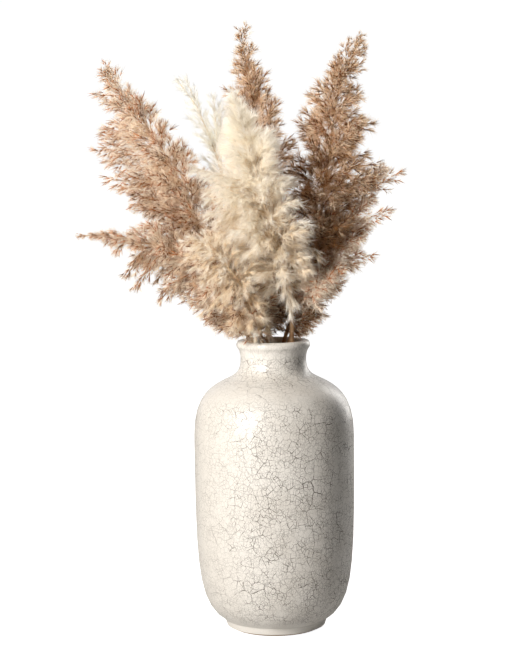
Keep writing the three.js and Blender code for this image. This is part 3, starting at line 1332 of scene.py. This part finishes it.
@dataclass
class Plume:
    """The flower plume of a grass: branches, twigs, spikelets and silk."""

    grass: Grass
    stations: Stations = (0.0, 0.25, 0.5, 0.75, 1.0)
    start_lean: float = 0.55
    crowding: float = 1.15
    tone_stations: tuple[float, float, float] = (0.0, 0.25, 1.0)
    stalk_site_step: float = 2.2
    short_share: float = 0.22
    clump_height_spread: float = 0.016
    clump_turn_spread: float = 0.24
    stalk_rings: int = 28

    def __post_init__(self) -> None:
        """Takes the plume's line, its makeup and its own source of chance."""
        self.course = self.grass.course()
        self.foot = self.grass.plume_start()
        self.tip = self.course.whole - self.grass.tip_margin
        self.start = self.foot - self.grass.skirt
        self.span = self.tip - self.start
        self.makeup = MAKEUPS[self.grass.kind]
        self.rng = np.random.default_rng(self.grass.seed)

    # -- branches --

    def _reach_and_lean(self, heights: np.ndarray, turns: np.ndarray) -> tuple[np.ndarray, np.ndarray]:
        """Length and angle of branches.

        Args:
            heights: Share of the stalk at which they spring.
            turns: Where they point round the stalk: 0 is right and a quarter turn is to the back.

        Returns:
            The lengths in millimetres and the angles in radians.
        """
        sideways = np.cos(turns) ** 2
        made = []
        for field_name in ("reach", "lean"):
            right, left, deep = (
                np.interp(heights, self.stations, getattr(side, field_name))
                for side in (self.grass.right, self.grass.left, self.grass.deep)
            )
            flank = np.where(np.cos(turns) > 0, right, left)
            made.append(flank * sideways + deep * (1 - sideways))
        return made[0], np.radians(made[1])

    def _grow_boughs(self) -> Boughs:
        """Grows the branches in clumps."""
        rng, grass = self.rng, self.grass
        count = grass.clumps * grass.clump_size
        clump = np.repeat(np.arange(grass.clumps), grass.clump_size)
        centre_heights = (np.arange(grass.clumps) + rng.uniform(0.2, 0.8, grass.clumps)) / grass.clumps
        centre_heights = centre_heights**self.crowding
        centre_turns = np.arange(grass.clumps) * GOLDEN_ANGLE + rng.normal(0, 0.3, grass.clumps)
        vigour = rng.uniform(0.84, 1.08, grass.clumps)
        heights = centre_heights[clump] + rng.normal(0, self.clump_height_spread, count)
        heights = np.clip(heights, 0.0, 0.985)
        turns = centre_turns[clump] + rng.normal(0, self.clump_turn_spread, count)
        reach, lean = self._reach_and_lean(heights, turns)
        short = rng.uniform(0, 1, count) < self.short_share
        reach = reach * vigour[clump] * np.where(short, rng.uniform(0.22, 0.5, count), rng.uniform(0.62, 1.05, count))
        lean = lean * rng.uniform(0.82, 1.18, count)

        lengths = self.start + heights * self.span
        starts, along = self.course.at(lengths), self.course.heading(lengths)
        right = unit(np.array([1.0, 0.0, 0.0]) - along * along[:, :1])
        back = np.cross(along, right)
        out = right * np.cos(turns)[:, None] + back * np.sin(turns)[:, None]

        def toward(angle: np.ndarray) -> np.ndarray:
            """Directions at an angle from the stalk."""
            return along * np.cos(angle)[:, None] + out * np.sin(angle)[:, None]

        size = reach[:, None]
        sag = DOWN * grass.droop * rng.uniform(0.6, 1.4, (count, 1))
        ends = starts + size * (toward(lean) + sag)
        first = starts + size * 0.38 * toward(lean * self.start_lean)
        arriving = unit(toward(lean * 1.12) + 1.8 * sag + rng.normal(0, 0.09, (count, 3)))
        controls = np.stack([starts, first, ends - size * 0.34 * arriving, ends], axis=1)
        sprigs = [self._sprig_controls(sprig) for sprig in grass.sprigs]
        controls = np.concatenate([controls, *sprigs]) if sprigs else controls
        heights = np.append(heights, [sprig.height for sprig in grass.sprigs])
        extra = [np.linalg.norm(sprig[0, 3] - sprig[0, 0]) for sprig in sprigs]
        return Boughs(Arcs(controls), np.append(reach, extra), heights)

    def _sprig_controls(self, sprig: Sprig) -> np.ndarray:
        """Control points of a branch that ends at a given place."""
        length = np.array([self.start + sprig.height * self.span])
        start, along = self.course.at(length)[0], self.course.heading(length)[0]
        end = np.array(sprig.end)
        size = np.linalg.norm(end - start)
        final = unit(end - start + size * self.grass.droop * DOWN)
        return np.array([[start, start + along * size * 0.36, end - final * size * 0.34, end]])

    def _grow_twigs(self, boughs: Boughs) -> Twigs:
        """Grows the twigs along the branches."""
        rng, makeup = self.rng, self.makeup
        counts = np.maximum(2, np.round(boughs.reach / makeup.twig_step)).astype(int)
        host = np.repeat(np.arange(len(counts)), counts)
        order = np.concatenate([np.arange(n) for n in counts])
        share = (order + rng.uniform(0.5, 1.0, len(order))) / counts[host]
        share = 0.08 + 0.9 * share
        starts, along = boughs.arcs.at(host, share), boughs.arcs.heading(host, share)
        turns = order * GOLDEN_ANGLE + host * 1.7 + rng.normal(0, 0.3, len(order))
        lean = np.radians(makeup.twig_lean) * (1.15 - 0.5 * share) * rng.uniform(0.7, 1.3, len(order))
        size = makeup.twig_reach * boughs.reach[host] * (1 - share) ** 0.6 + 3.5
        size = np.minimum(size, 24.0) * rng.uniform(0.65, 1.1, len(order))
        out = across(along, turns)
        aim = along * np.cos(lean)[:, None] + out * np.sin(lean)[:, None]
        begin = unit(along * 1.2 + aim)
        aim = unit(aim + DOWN * makeup.sag * 0.6)
        ends = starts + size[:, None] * aim
        controls = np.stack(
            [starts, starts + size[:, None] * 0.35 * begin, ends - size[:, None] * 0.33 * aim, ends], axis=1
        )
        return Twigs(Arcs(controls), size, host, share)

    # -- sites --

    def _sites(self, boughs: Boughs, twigs: Twigs) -> Sites:
        """Finds where spikelets and silk grow: along twigs and along the outer part of branches."""
        rng, makeup = self.rng, self.makeup
        bough_tone = rng.normal(0, makeup.branch_tones, len(boughs.reach))
        groups = []
        for grown, first, owner in ((twigs, 0.3, twigs.host), (boughs, 0.34, np.arange(len(boughs.reach)))):
            counts = np.maximum(1, np.round(grown.reach * (1 - first) / makeup.site_step)).astype(int)
            which = np.repeat(np.arange(len(counts)), counts)
            order = np.concatenate([np.arange(n) for n in counts])
            share = first + (1 - first) * (order + 1) / counts[which]
            places, along = grown.arcs.at(which, share), grown.arcs.heading(which, share)
            at_tip = order + 1 == counts[which]
            lean = np.where(at_tip, 0.12, makeup.site_lean) * rng.uniform(0.6, 1.3, len(order))
            out = across(along, order * 2.6 + which * 0.9 + rng.normal(0, 0.5, len(order)))
            aim = along * np.cos(lean)[:, None] + out * np.sin(lean)[:, None]
            aim = unit(aim + DOWN * makeup.sag * rng.uniform(0.3, 1.6, (len(order), 1)))
            stalk_share = boughs.heights[owner[which]]
            outward = share if grown is boughs else grown.outward[which]
            tone = self._tone_at(stalk_share) + bough_tone[owner[which]]
            # Own colour together with painted light and shade: tufts near a branch's end are paler, those deep inside
            # the plume darker.
            tone = tone + makeup.paler_outward_and_shaded_inside * (outward - 0.6)
            scale = np.interp(stalk_share, [0.0, 0.8, 1.0], [1.0, 0.94, self.grass.tip_size])
            groups.append(Sites(places, aim, scale, tone, stalk_share, outward))
        groups.append(self._stalk_sites())
        return Sites(*(np.concatenate([getattr(g, key) for g in groups]) for key in vars(groups[0])))

    def _tone_at(self, heights: np.ndarray) -> np.ndarray:
        """The usual tone at shares of the stalk."""
        return np.interp(heights, self.tone_stations, self.grass.tone)

    def _stalk_sites(self) -> Sites:
        """Finds where short tufts grow on the stalk itself."""
        rng = self.rng
        lengths = np.arange(max(self.start, self.foot) + self.makeup.site_step, self.tip, self.stalk_site_step)
        heights = (lengths - self.start) / self.span
        along = self.course.heading(lengths)
        out = across(along, np.arange(len(lengths)) * GOLDEN_ANGLE)
        lean = rng.uniform(0.5, 1.1, (len(lengths), 1))
        aim = along * np.cos(lean) + out * np.sin(lean)
        # Painted shade: tufts on the stalk itself, deepest inside the plume, are darker.
        tone = self._tone_at(heights) - self.makeup.paler_outward_and_shaded_inside * 0.2
        size = np.interp(heights, [0.0, 0.8, 1.0], [1.0, 0.94, self.grass.tip_size])
        return Sites(self.course.at(lengths), aim, size, tone, heights, np.full(len(lengths), 0.3))

    # -- pieces --

    def _stalk(self, heap: Heap) -> None:
        """Lays the plume's own stalk, which thins towards the tip."""
        lengths = np.linspace(self.foot, self.tip, self.stalk_rings + 1)
        self._tapered_line(heap, self.course.at(lengths))

    def _tapered_line(self, heap: Heap, places: np.ndarray) -> None:
        """Lays one closed tube through places, thinning to a point at the last one."""
        sides, rings = 7, len(places) - 1
        along = unit(np.gradient(places, axis=0))
        aid = across(along[:1], np.zeros(1))
        first = unit(aid - along * np.sum(aid * along, axis=-1, keepdims=True))
        second = np.cross(along, first)
        angles = np.arange(sides) * 2 * math.pi / sides
        shares = np.arange(rings) / rings
        radii = self.grass.thickness / 2 * (1 - 0.82 * shares**0.8)
        ring = first[:-1, None] * np.cos(angles)[:, None] + second[:-1, None] * np.sin(angles)[:, None]
        points = (places[:-1, None] + ring * radii[:, None, None]).reshape(-1, 3)
        points = np.vstack([points, places[-1]])
        marks = np.empty((1, len(points), 2))
        marks[..., 0] = 0.5 + np.append(np.tile(np.cos(angles), rings), 0) * 0.004
        marks[..., 1] = 0.02 + 0.5 * np.append(np.repeat(shares, sides), 1)
        heap.add(points[None], Arcs._tube_faces(rings, sides), marks)

    def build(self) -> dict[str, bpy.types.Object]:
        """Grows the plume.

        Returns:
            Its three pieces by what they are: branches, spikelets and silk.
        """
        rng, makeup = self.rng, self.makeup
        boughs = self._grow_boughs()
        twigs = self._grow_twigs(boughs)
        sites = self._sites(boughs, twigs)

        wood, husks, silk = Heap(), Heap(), Heap()
        self._stalk(wood)
        girths = makeup.bough_girth * np.clip(boughs.reach / 60, 0.5, 1.2)
        boughs.arcs.tubes(wood, girths, 6, 3, rng.uniform(0.3, 0.7, len(girths)))
        slim = np.full(len(twigs.reach), makeup.twig_girth)
        twigs.arcs.tubes(wood, slim, 2, 3, rng.uniform(0.2, 0.8, len(slim)))

        near_foot = sites.heights + rng.normal(0, 0.05, len(sites.heights)) < self.grass.husked
        outer = sites.outward + rng.normal(0, 0.12, len(sites.heights)) > makeup.husks_from
        shown = sites.only(near_foot & outer)
        share, shift = makeup.husk_tone
        shown = replace(shown, tones=shown.tones * share + shift)
        self._strew_all(husks, makeup.spikelet.moulds(rng), shown, 0.3)
        fluffy = sites.resized(self.grass.fluff * (1.08 - makeup.sparser_outward * sites.outward))
        self._strew_all(silk, makeup.tuft.moulds(rng), fluffy, makeup.silk_tones)
        name = self.grass.name
        made = {
            "branches": wood.made(f"{name}_branches"),
            "spikelets": husks.made(f"{name}_spikelets"),
            "silk": silk.made(f"{name}_silk"),
        }
        log.info(
            "plume %s: %d branches, %d twigs, %d tufts, %d + %d + %d triangles",
            name, len(boughs.reach), len(slim), len(sites.places),
            wood.triangles(), husks.triangles(), silk.triangles(),
        )
        return made

    def _strew_all(self, heap: Heap, moulds: list[Mould], sites: Sites, tone_spread: float) -> None:
        """Lays one of several moulds at each site, by chance."""
        choice = self.rng.integers(0, len(moulds), len(sites.places))
        for number, mould in enumerate(moulds):
            mould.strew(heap, sites.only(choice == number), tone_spread, self.rng)

    def dress(self, pieces: dict[str, bpy.types.Object], finishes: dict[str, bpy.types.Material]) -> None:
        """Gives the pieces their finishes and sets them in the frame."""
        for part, piece in pieces.items():
            piece.data.materials.append(finishes[part])
            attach(piece, "root")
            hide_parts(f"plume_{self.grass.name}")


# ---- The looks of the plumes ----

REED_LOOK = PlumeLook(
    silk=Strand(
        "reed_silk",
        deep=((0.65, 0.475, 0.28), (0.81, 0.65, 0.465)),
        pale=((0.975, 0.925, 0.85), (0.99, 0.965, 0.92)),
        glow=0.48,
        glow_colour=(0.985, 0.925, 0.835),
    ),
    husk=Strand(
        "reed_husk",
        deep=((0.42, 0.22, 0.07), (0.35, 0.165, 0.045)),
        pale=((0.76, 0.48, 0.21), (0.68, 0.375, 0.125)),
        glow=0.2,
        glow_colour=(0.84, 0.55, 0.28),
    ),
    twig=Strand(
        "reed_twig",
        deep=((0.60, 0.45, 0.31), (0.64, 0.48, 0.33)),
        pale=((0.86, 0.72, 0.56), (0.90, 0.76, 0.59)),
        glow=0.1,
        glow_colour=(0.88, 0.72, 0.54),
    ),
)

DARK_REED_LOOK = PlumeLook(
    silk=Strand(
        "brown_reed_silk",
        deep=((0.42, 0.25, 0.105), (0.58, 0.39, 0.20)),
        pale=((0.96, 0.885, 0.775), (0.98, 0.935, 0.85)),
        glow=0.42,
        glow_colour=(0.93, 0.74, 0.50),
    ),
    husk=Strand(
        "brown_reed_husk",
        deep=((0.29, 0.15, 0.055), (0.23, 0.11, 0.04)),
        pale=((0.60, 0.365, 0.165), (0.50, 0.275, 0.10)),
        glow=0.15,
        glow_colour=(0.75, 0.49, 0.26),
    ),
    twig=Strand(
        "brown_reed_twig",
        deep=((0.42, 0.29, 0.19), (0.48, 0.33, 0.21)),
        pale=((0.80, 0.65, 0.48), (0.84, 0.68, 0.50)),
        glow=0.08,
        glow_colour=(0.8, 0.62, 0.44),
    ),
)

PAMPAS_LOOK = PlumeLook(
    silk=Strand(
        "pampas_silk",
        deep=((0.91, 0.775, 0.585), (0.955, 0.88, 0.745)),
        pale=((0.994, 0.983, 0.957), (0.998, 0.992, 0.98)),
        glow=0.58,
        glow_colour=(0.998, 0.984, 0.95),
    ),
    husk=Strand(
        "pampas_husk",
        deep=((0.80, 0.65, 0.46), (0.84, 0.70, 0.51)),
        pale=((0.97, 0.93, 0.85), (0.985, 0.95, 0.88)),
        glow=0.35,
        glow_colour=(0.98, 0.94, 0.86),
    ),
    twig=Strand(
        "pampas_twig",
        deep=((0.78, 0.66, 0.51), (0.86, 0.76, 0.62)),
        pale=((0.95, 0.89, 0.78), (0.97, 0.92, 0.83)),
        glow=0.15,
        glow_colour=(0.97, 0.91, 0.80),
    ),
)

SLIM_LOOK = PlumeLook(
    silk=Strand(
        "slim_silk",
        deep=((0.92, 0.91, 0.87), (0.94, 0.935, 0.905)),
        pale=((0.955, 0.95, 0.925), (0.97, 0.965, 0.95)),
        glow=0.5,
        glow_colour=(0.98, 0.978, 0.955),
    ),
    husk=PAMPAS_LOOK.husk,
    twig=PAMPAS_LOOK.twig,
)

GRASSES = (
    Grass(
        name="pampas_front",
        kind=PlumeKind.PAMPAS,
        foot=(23, 34),
        mouth=(19.5, -8),
        route=((19, -13, 335), (13, -22, 369), (3, -32, 411), (-9, -38, 452), (-20, -40, 493),
               (-30, -38, 529), (-41, -33, 572)),
        thickness=5.2,
        bare=28,
        skirt=-26,
        tip_margin=24,
        left=Side(reach=(46, 76, 82, 30, 10), lean=(54, 52, 40, 18, 6)),
        right=Side(reach=(24, 46, 54, 40, 12), lean=(56, 56, 42, 22, 8)),
        deep=Side(reach=(22, 50, 54, 46, 17), lean=(50, 48, 38, 20, 8)),
        clumps=106,
        clump_size=2,
        droop=0.24,
        fluff=1.0,
        husked=0.4,
        tone=(0.85, 0.8, 2.1),
        look=PAMPAS_LOOK,
        seed=12,
        sprigs=(
            Sprig(0.14, (17, -36, 340)),
            Sprig(0.18, (21, -33, 350)),
            Sprig(0.3, (38, -30, 384)),
            Sprig(0.36, (46, -26, 396)),
        ),
    ),
    Grass(
        name="reed_left",
        kind=PlumeKind.REED,
        foot=(42, -2),
        mouth=(-24.5, -4),
        route=((-37, -1, 333), (-53, 3, 370), (-69, 7, 410), (-87, 11, 450), (-107, 15, 492),
               (-131, 18, 530), (-155, 21, 564), (-183, 25, 602)),
        thickness=4.4,
        bare=50,
        skirt=42,
        tip_margin=22.0,
        left=Side(reach=(60, 90, 115, 75, 15), lean=(55, 50, 50, 40, 20)),
        right=Side(reach=(50, 80, 50, 35, 15), lean=(40, 35, 35, 30, 15)),
        deep=Side(reach=(50, 55, 55, 40, 20), lean=(40, 45, 40, 30, 15)),
        clumps=82,
        clump_size=2,
        droop=0.08,
        fluff=1.0,
        husked=1.2,
        tone=(0.9, 1.0, 2.1),
        look=REED_LOOK,
        seed=80,
    ),
    Grass(
        name="reed_back",
        kind=PlumeKind.REED,
        foot=(-2, 11),
        mouth=(-5.5, 18),
        route=((-3, 26, 345), (-2, 34, 398), (-5, 42, 451), (-10, 50, 504), (-18, 56, 557),
               (-26, 60, 600), (-33, 63, 638)),
        thickness=4.4,
        bare=50,
        skirt=44,
        tip_margin=20.0,
        left=Side(reach=(80, 45, 60, 40, 25), lean=(45, 25, 30, 35, 20)),
        right=Side(reach=(75, 50, 50, 65, 20), lean=(35, 35, 35, 25, 25)),
        deep=Side(reach=(45, 50, 45, 40, 15), lean=(30, 25, 20, 20, 10)),
        clumps=74,
        clump_size=2,
        droop=0.06,
        fluff=1.0,
        husked=1.2,
        # painted shade: darkest at the foot, where this plume and its sprigs fill the shaded mouth
        tone=(0.15, 1.3, 2.5),
        look=DARK_REED_LOOK,
        seed=46,
        sprigs=(
            Sprig(0.0, (-13, -6, 328)),
            Sprig(0.0, (-7, -10, 321)),
            Sprig(0.0, (-4, -8, 337)),
            Sprig(0.0, (2, -12, 322)),
            Sprig(0.0, (6, -10, 334)),
            Sprig(0.0, (-1, -6, 346)),
            Sprig(0.01, (9, -4, 344)),
            Sprig(0.01, (3, -2, 356)),
        ),
    ),
    Grass(
        name="reed_right",
        kind=PlumeKind.REED,
        foot=(-41, 7),
        mouth=(11.5, 9),
        route=((26, 9, 346), (39, 10, 388), (50, 10, 430), (57, 10, 472), (63, 10, 513),
               (69, 10, 555), (80, 10, 591), (101, 10, 622)),
        thickness=4.4,
        bare=46,
        skirt=40,
        tip_margin=20.0,
        left=Side(reach=(30, 60, 60, 55, 25), lean=(40, 60, 50, 30, 15)),
        right=Side(reach=(15, 55, 80, 45, 15), lean=(55, 45, 50, 40, 20)),
        deep=Side(reach=(15, 60, 50, 45, 20), lean=(60, 60, 35, 40, 20)),
        clumps=92,
        clump_size=2,
        droop=0.14,
        fluff=1.0,
        husked=1.2,
        tone=(-0.15, 0.33, 2.2),
        look=DARK_REED_LOOK,
        seed=1,
        sprigs=(
            Sprig(0.0, (30, -6, 314)),
            Sprig(0.0, (33, -2, 326)),
            Sprig(0.01, (44, 0, 331)),
            Sprig(0.01, (38, 2, 341)),
            Sprig(0.0, (18, -2, 330)),
            Sprig(0.2, (69, -6, 447)),
            Sprig(0.14, (60, -8, 439)),
            Sprig(0.1, (77, -4, 430)),
            Sprig(0.24, (79, 4, 452)),
            Sprig(0.28, (84, 2, 463)),
        ),
    ),
    Grass(
        name="pampas_slim",
        kind=PlumeKind.PAMPAS,
        foot=(-19, -4),
        mouth=(-12, 5),
        route=((-22, 12, 346), (-34, 20, 399), (-46, 27, 451), (-57, 32, 494), (-72, 36, 536),
               (-87, 38, 563), (-106, 40, 586)),
        thickness=3.8,
        bare=60,
        skirt=0,
        tip_margin=10,
        left=Side(reach=(46, 48, 42, 30, 10), lean=(8, 8, 8, 7, 6)),
        right=Side(reach=(46, 48, 42, 30, 10), lean=(8, 8, 8, 7, 6)),
        deep=Side(reach=(42, 44, 40, 30, 10), lean=(8, 8, 8, 7, 6)),
        clumps=4,
        clump_size=2,
        droop=0.02,
        fluff=0.9,
        husked=0.2,
        tone=(0.5, 0.5, 0.6),
        look=SLIM_LOOK,
        seed=53,
        sprigs=(Sprig(0.52, (-87, 34, 574)), Sprig(0.45, (-54, 34, 545)), Sprig(0.5, (-60, 30, 556))),
    ),
    Grass(
        name="reed_low_left",
        kind=PlumeKind.REED,
        foot=(14, -4),
        mouth=(-21, -14),
        route=((-32, -17, 330), (-50, -24, 359), (-75, -30, 384), (-108, -35, 403), (-145, -38, 413),
               (-177, -40, 418), (-204, -41, 417)),
        thickness=4,
        bare=24,
        skirt=18,
        tip_margin=8,
        left=Side(reach=(40, 40, 70, 24, 5), lean=(40, 55, 65, 50, 12)),
        right=Side(reach=(60, 35, 38, 18, 3), lean=(50, 40, 50, 30, 12)),
        deep=Side(reach=(50, 30, 25, 13, 4), lean=(50, 50, 40, 30, 15)),
        clumps=86,
        clump_size=2,
        droop=0.1,
        fluff=1.0,
        husked=1.2,
        tone=(0.45, 1.2, 1.4),
        look=REED_LOOK,
        seed=48,
        tip_size=0.24,
        sprigs=(
            Sprig(0.0, (-15, -28, 311)),
            Sprig(0.0, (-25, -27, 309)),
            Sprig(0.01, (-7, -26, 315)),
        ),
    ),
    Grass(
        name="pampas_low",
        kind=PlumeKind.PAMPAS,
        foot=(19, 4),
        mouth=(-11.5, -20.5),
        route=((-16, -30, 327), (-25, -42, 350), (-37, -52, 374), (-51, -58, 392), (-66, -62, 407),
               (-83, -64, 419)),
        thickness=4.4,
        bare=16,
        skirt=4,
        tip_margin=12,
        left=Side(reach=(12, 38, 46, 38, 18), lean=(44, 62, 60, 44, 15)),
        right=Side(reach=(4, 14, 28, 28, 16), lean=(30, 46, 50, 42, 18)),
        deep=Side(reach=(14, 32, 30, 24, 14), lean=(44, 60, 54, 42, 18)),
        clumps=68,
        clump_size=2,
        droop=0.3,
        fluff=0.78,
        husked=0.8,
        # painted shade: darker at the foot, in the shaded mouth
        tone=(-0.3, 0.3, 0.7),
        look=PAMPAS_LOOK,
        seed=71,
    ),
    Grass(
        name="reed_low_right",
        kind=PlumeKind.REED,
        foot=(-34, 8),
        mouth=(16.5, 3.5),
        route=((26, 6, 325), (40, 10, 353), (59, 14, 381), (76, 16, 410), (90, 16, 440),
               (104, 16, 468), (124, 16, 490)),
        thickness=3.8,
        bare=22,
        skirt=16,
        tip_margin=12.0,
        left=Side(reach=(35, 30, 34, 28, 10), lean=(45, 36, 34, 32, 15)),
        right=Side(reach=(12, 38, 34, 20, 10), lean=(45, 45, 35, 25, 20)),
        deep=Side(reach=(15, 45, 40, 20, 10), lean=(45, 50, 40, 25, 10)),
        clumps=60,
        clump_size=2,
        droop=0.1,
        fluff=1.0,
        husked=1.2,
        # painted light: the palest tone all through, standing in for light where the front plume shades this one
        tone=(1.9, 2.4, 2.4),
        look=REED_LOOK,
        seed=84,
        sprigs=(
            Sprig(0.4, (103, 14, 391)),
            Sprig(0.6, (121, 12, 439)),
            Sprig(0.8, (134, 16, 478)),
            Sprig(0.12, (46, -56, 362)),
            Sprig(0.16, (58, -50, 372)),
            Sprig(0.2, (70, -40, 378)),
        ),
    ),
)


@dataclass
class Bouquet:
    """All the grasses."""

    grasses: tuple[Grass, ...] = GRASSES
    culm: DryCulm = field(default_factory=DryCulm)
    made: dict[str, bpy.types.Material] = field(default_factory=dict)

    def _material(self, finish: Strand) -> bpy.types.Material:
        """Makes each finish only once."""
        if finish.name not in self.made:
            self.made[finish.name] = finish.material()
        return self.made[finish.name]

    def build(self) -> None:
        """Builds and dresses every stem and every plume."""
        culm = self.culm.material()
        for grass in self.grasses:
            stem = Stem(grass)
            stem.dress(stem.build(), culm)
            plume = Plume(grass)
            look = grass.look
            finishes = {
                "branches": self._material(look.twig),
                "spikelets": self._material(look.husk),
                "silk": self._material(look.silk),
            }
            plume.dress(plume.build(), finishes)


# ---- The studio ----


@dataclass
class Softbox:
    """A soft rectangular lamp, in metres and watts."""

    name: str
    place: Place
    aim: Place
    size: tuple[float, float]
    power: float
    colour: Colour = (1.0, 0.985, 0.965)

    def build(self) -> None:
        """Hangs the lamp."""
        data = bpy.data.lights.new(self.name, "AREA")
        data.shape = "RECTANGLE"
        data.size, data.size_y = self.size
        data.energy = self.power
        data.color = linear(self.colour)[:3]
        lamp = bpy.data.objects.new(self.name, data)
        lamp.location = self.place
        lamp.rotation_euler = (Vector(self.aim) - Vector(self.place)).to_track_quat("-Z", "Y").to_euler()
        bpy.context.scene.collection.objects.link(lamp)


@dataclass
class Studio:
    """Camera, lamps, pale floor and white surroundings. Places are in metres."""

    camera_place: Place = (0.0, -1.82, 0.4845)
    camera_pitch: float = 5.142
    camera_yaw: float = 0.66
    camera_roll: float = -0.68
    lens: float = 96.37
    floor_size: float = 400.0
    floor_colour: Colour = (0.8, 0.8, 0.8)
    floor_glow: float = 1.0
    surround_back: float = 1.02
    surround_front: float = 0.01
    light_bounces: int = 14
    lamps: tuple[Softbox, ...] = (
        Softbox("key", (-1.07, -1.27, 0.92), (0.0, 0.0, 0.26), (0.42, 0.72), 55.5),
        Softbox("rim", (1.0, 1.3, 0.7), (0.0, 0.0, 0.3), (0.5, 1.2), 12.0),
    )

    def _camera(self) -> None:
        """Sets up the camera."""
        data = bpy.data.cameras.new("camera")
        data.lens = self.lens
        data.sensor_width = 36.0
        data.clip_start, data.clip_end = 0.05, 900.0
        camera = bpy.data.objects.new("camera", data)
        turned = (
            Matrix.Rotation(math.radians(self.camera_yaw), 4, "Z")
            @ Matrix.Rotation(math.radians(90 - self.camera_pitch), 4, "X")
            @ Matrix.Rotation(math.radians(self.camera_roll), 4, "Z")
        )
        camera.matrix_world = Matrix.Translation(self.camera_place) @ turned
        bpy.context.scene.collection.objects.link(camera)
        bpy.context.scene.camera = camera

    def _floor(self) -> None:
        """Lays the pale floor."""
        deselect_everything()
        bpy.ops.mesh.primitive_plane_add(size=self.floor_size, location=(0, 0, -0.0006))
        floor = bpy.context.object
        floor.name = "studio_floor"
        sheet = Sheet(bpy.data.materials.new("pale_floor"))
        seen = sheet.wire(sheet.node("ShaderNodeLightPath"), "Is Camera Ray")
        matt = sheet.node(
            "ShaderNodeBsdfPrincipled",
            None,
            {
                "Base Color": linear(self.floor_colour),
                "Roughness": 0.9,
                "Specular IOR Level": 0.1,
                "Emission Color": (1.0, 1.0, 1.0, 1.0),
                "Emission Strength": seen * self.floor_glow,
            },
        )
        floor.data.materials.append(sheet.finish(sheet.wire(matt)))

    def _surroundings(self) -> None:
        """Lights the scene from a white room, bright behind and dim in front."""
        world = bpy.data.worlds.new("white_room")
        bpy.context.scene.world = world
        sheet = Sheet(world)
        direction = sheet.wire(sheet.node("ShaderNodeTexCoord"), "Generated")
        depth = sheet.wire(sheet.node("ShaderNodeSeparateXYZ", None, {0: direction}), "Y")
        behind = sheet.smooth_step(depth, 0.2, 0.9)
        light = behind * (self.surround_back - self.surround_front) + self.surround_front
        seen = sheet.wire(sheet.node("ShaderNodeLightPath"), "Is Camera Ray")
        strength = sheet.math("MAXIMUM", light, seen)
        room = sheet.node(
            "ShaderNodeBackground", None, {"Color": (1.0, 1.0, 1.0, 1.0), "Strength": strength}
        )
        sheet.node("ShaderNodeOutputWorld", None, {"Surface": sheet.wire(room)})

    def build(self) -> None:
        """Sets up everything that isn't part of the object."""
        self._camera()
        self._floor()
        self._surroundings()
        for lamp in self.lamps:
            lamp.build()
        bpy.context.scene.view_settings.view_transform = "Standard"
        bpy.context.scene.view_settings.look = "None"
        bpy.context.scene.cycles.max_bounces = self.light_bounces
        bpy.context.scene.cycles.diffuse_bounces = self.light_bounces


def main() -> None:
    logging.basicConfig(level=logging.INFO, format="%(name)s: %(message)s")
    Studio().build()
    vase = Vase()
    piece = vase.build()
    vase.dress(piece)
    log.info("vase: %d faces", len(piece.data.polygons))
    Bouquet().build()
    bpy.context.view_layer.update()


if __name__ == "__main__":
    main()
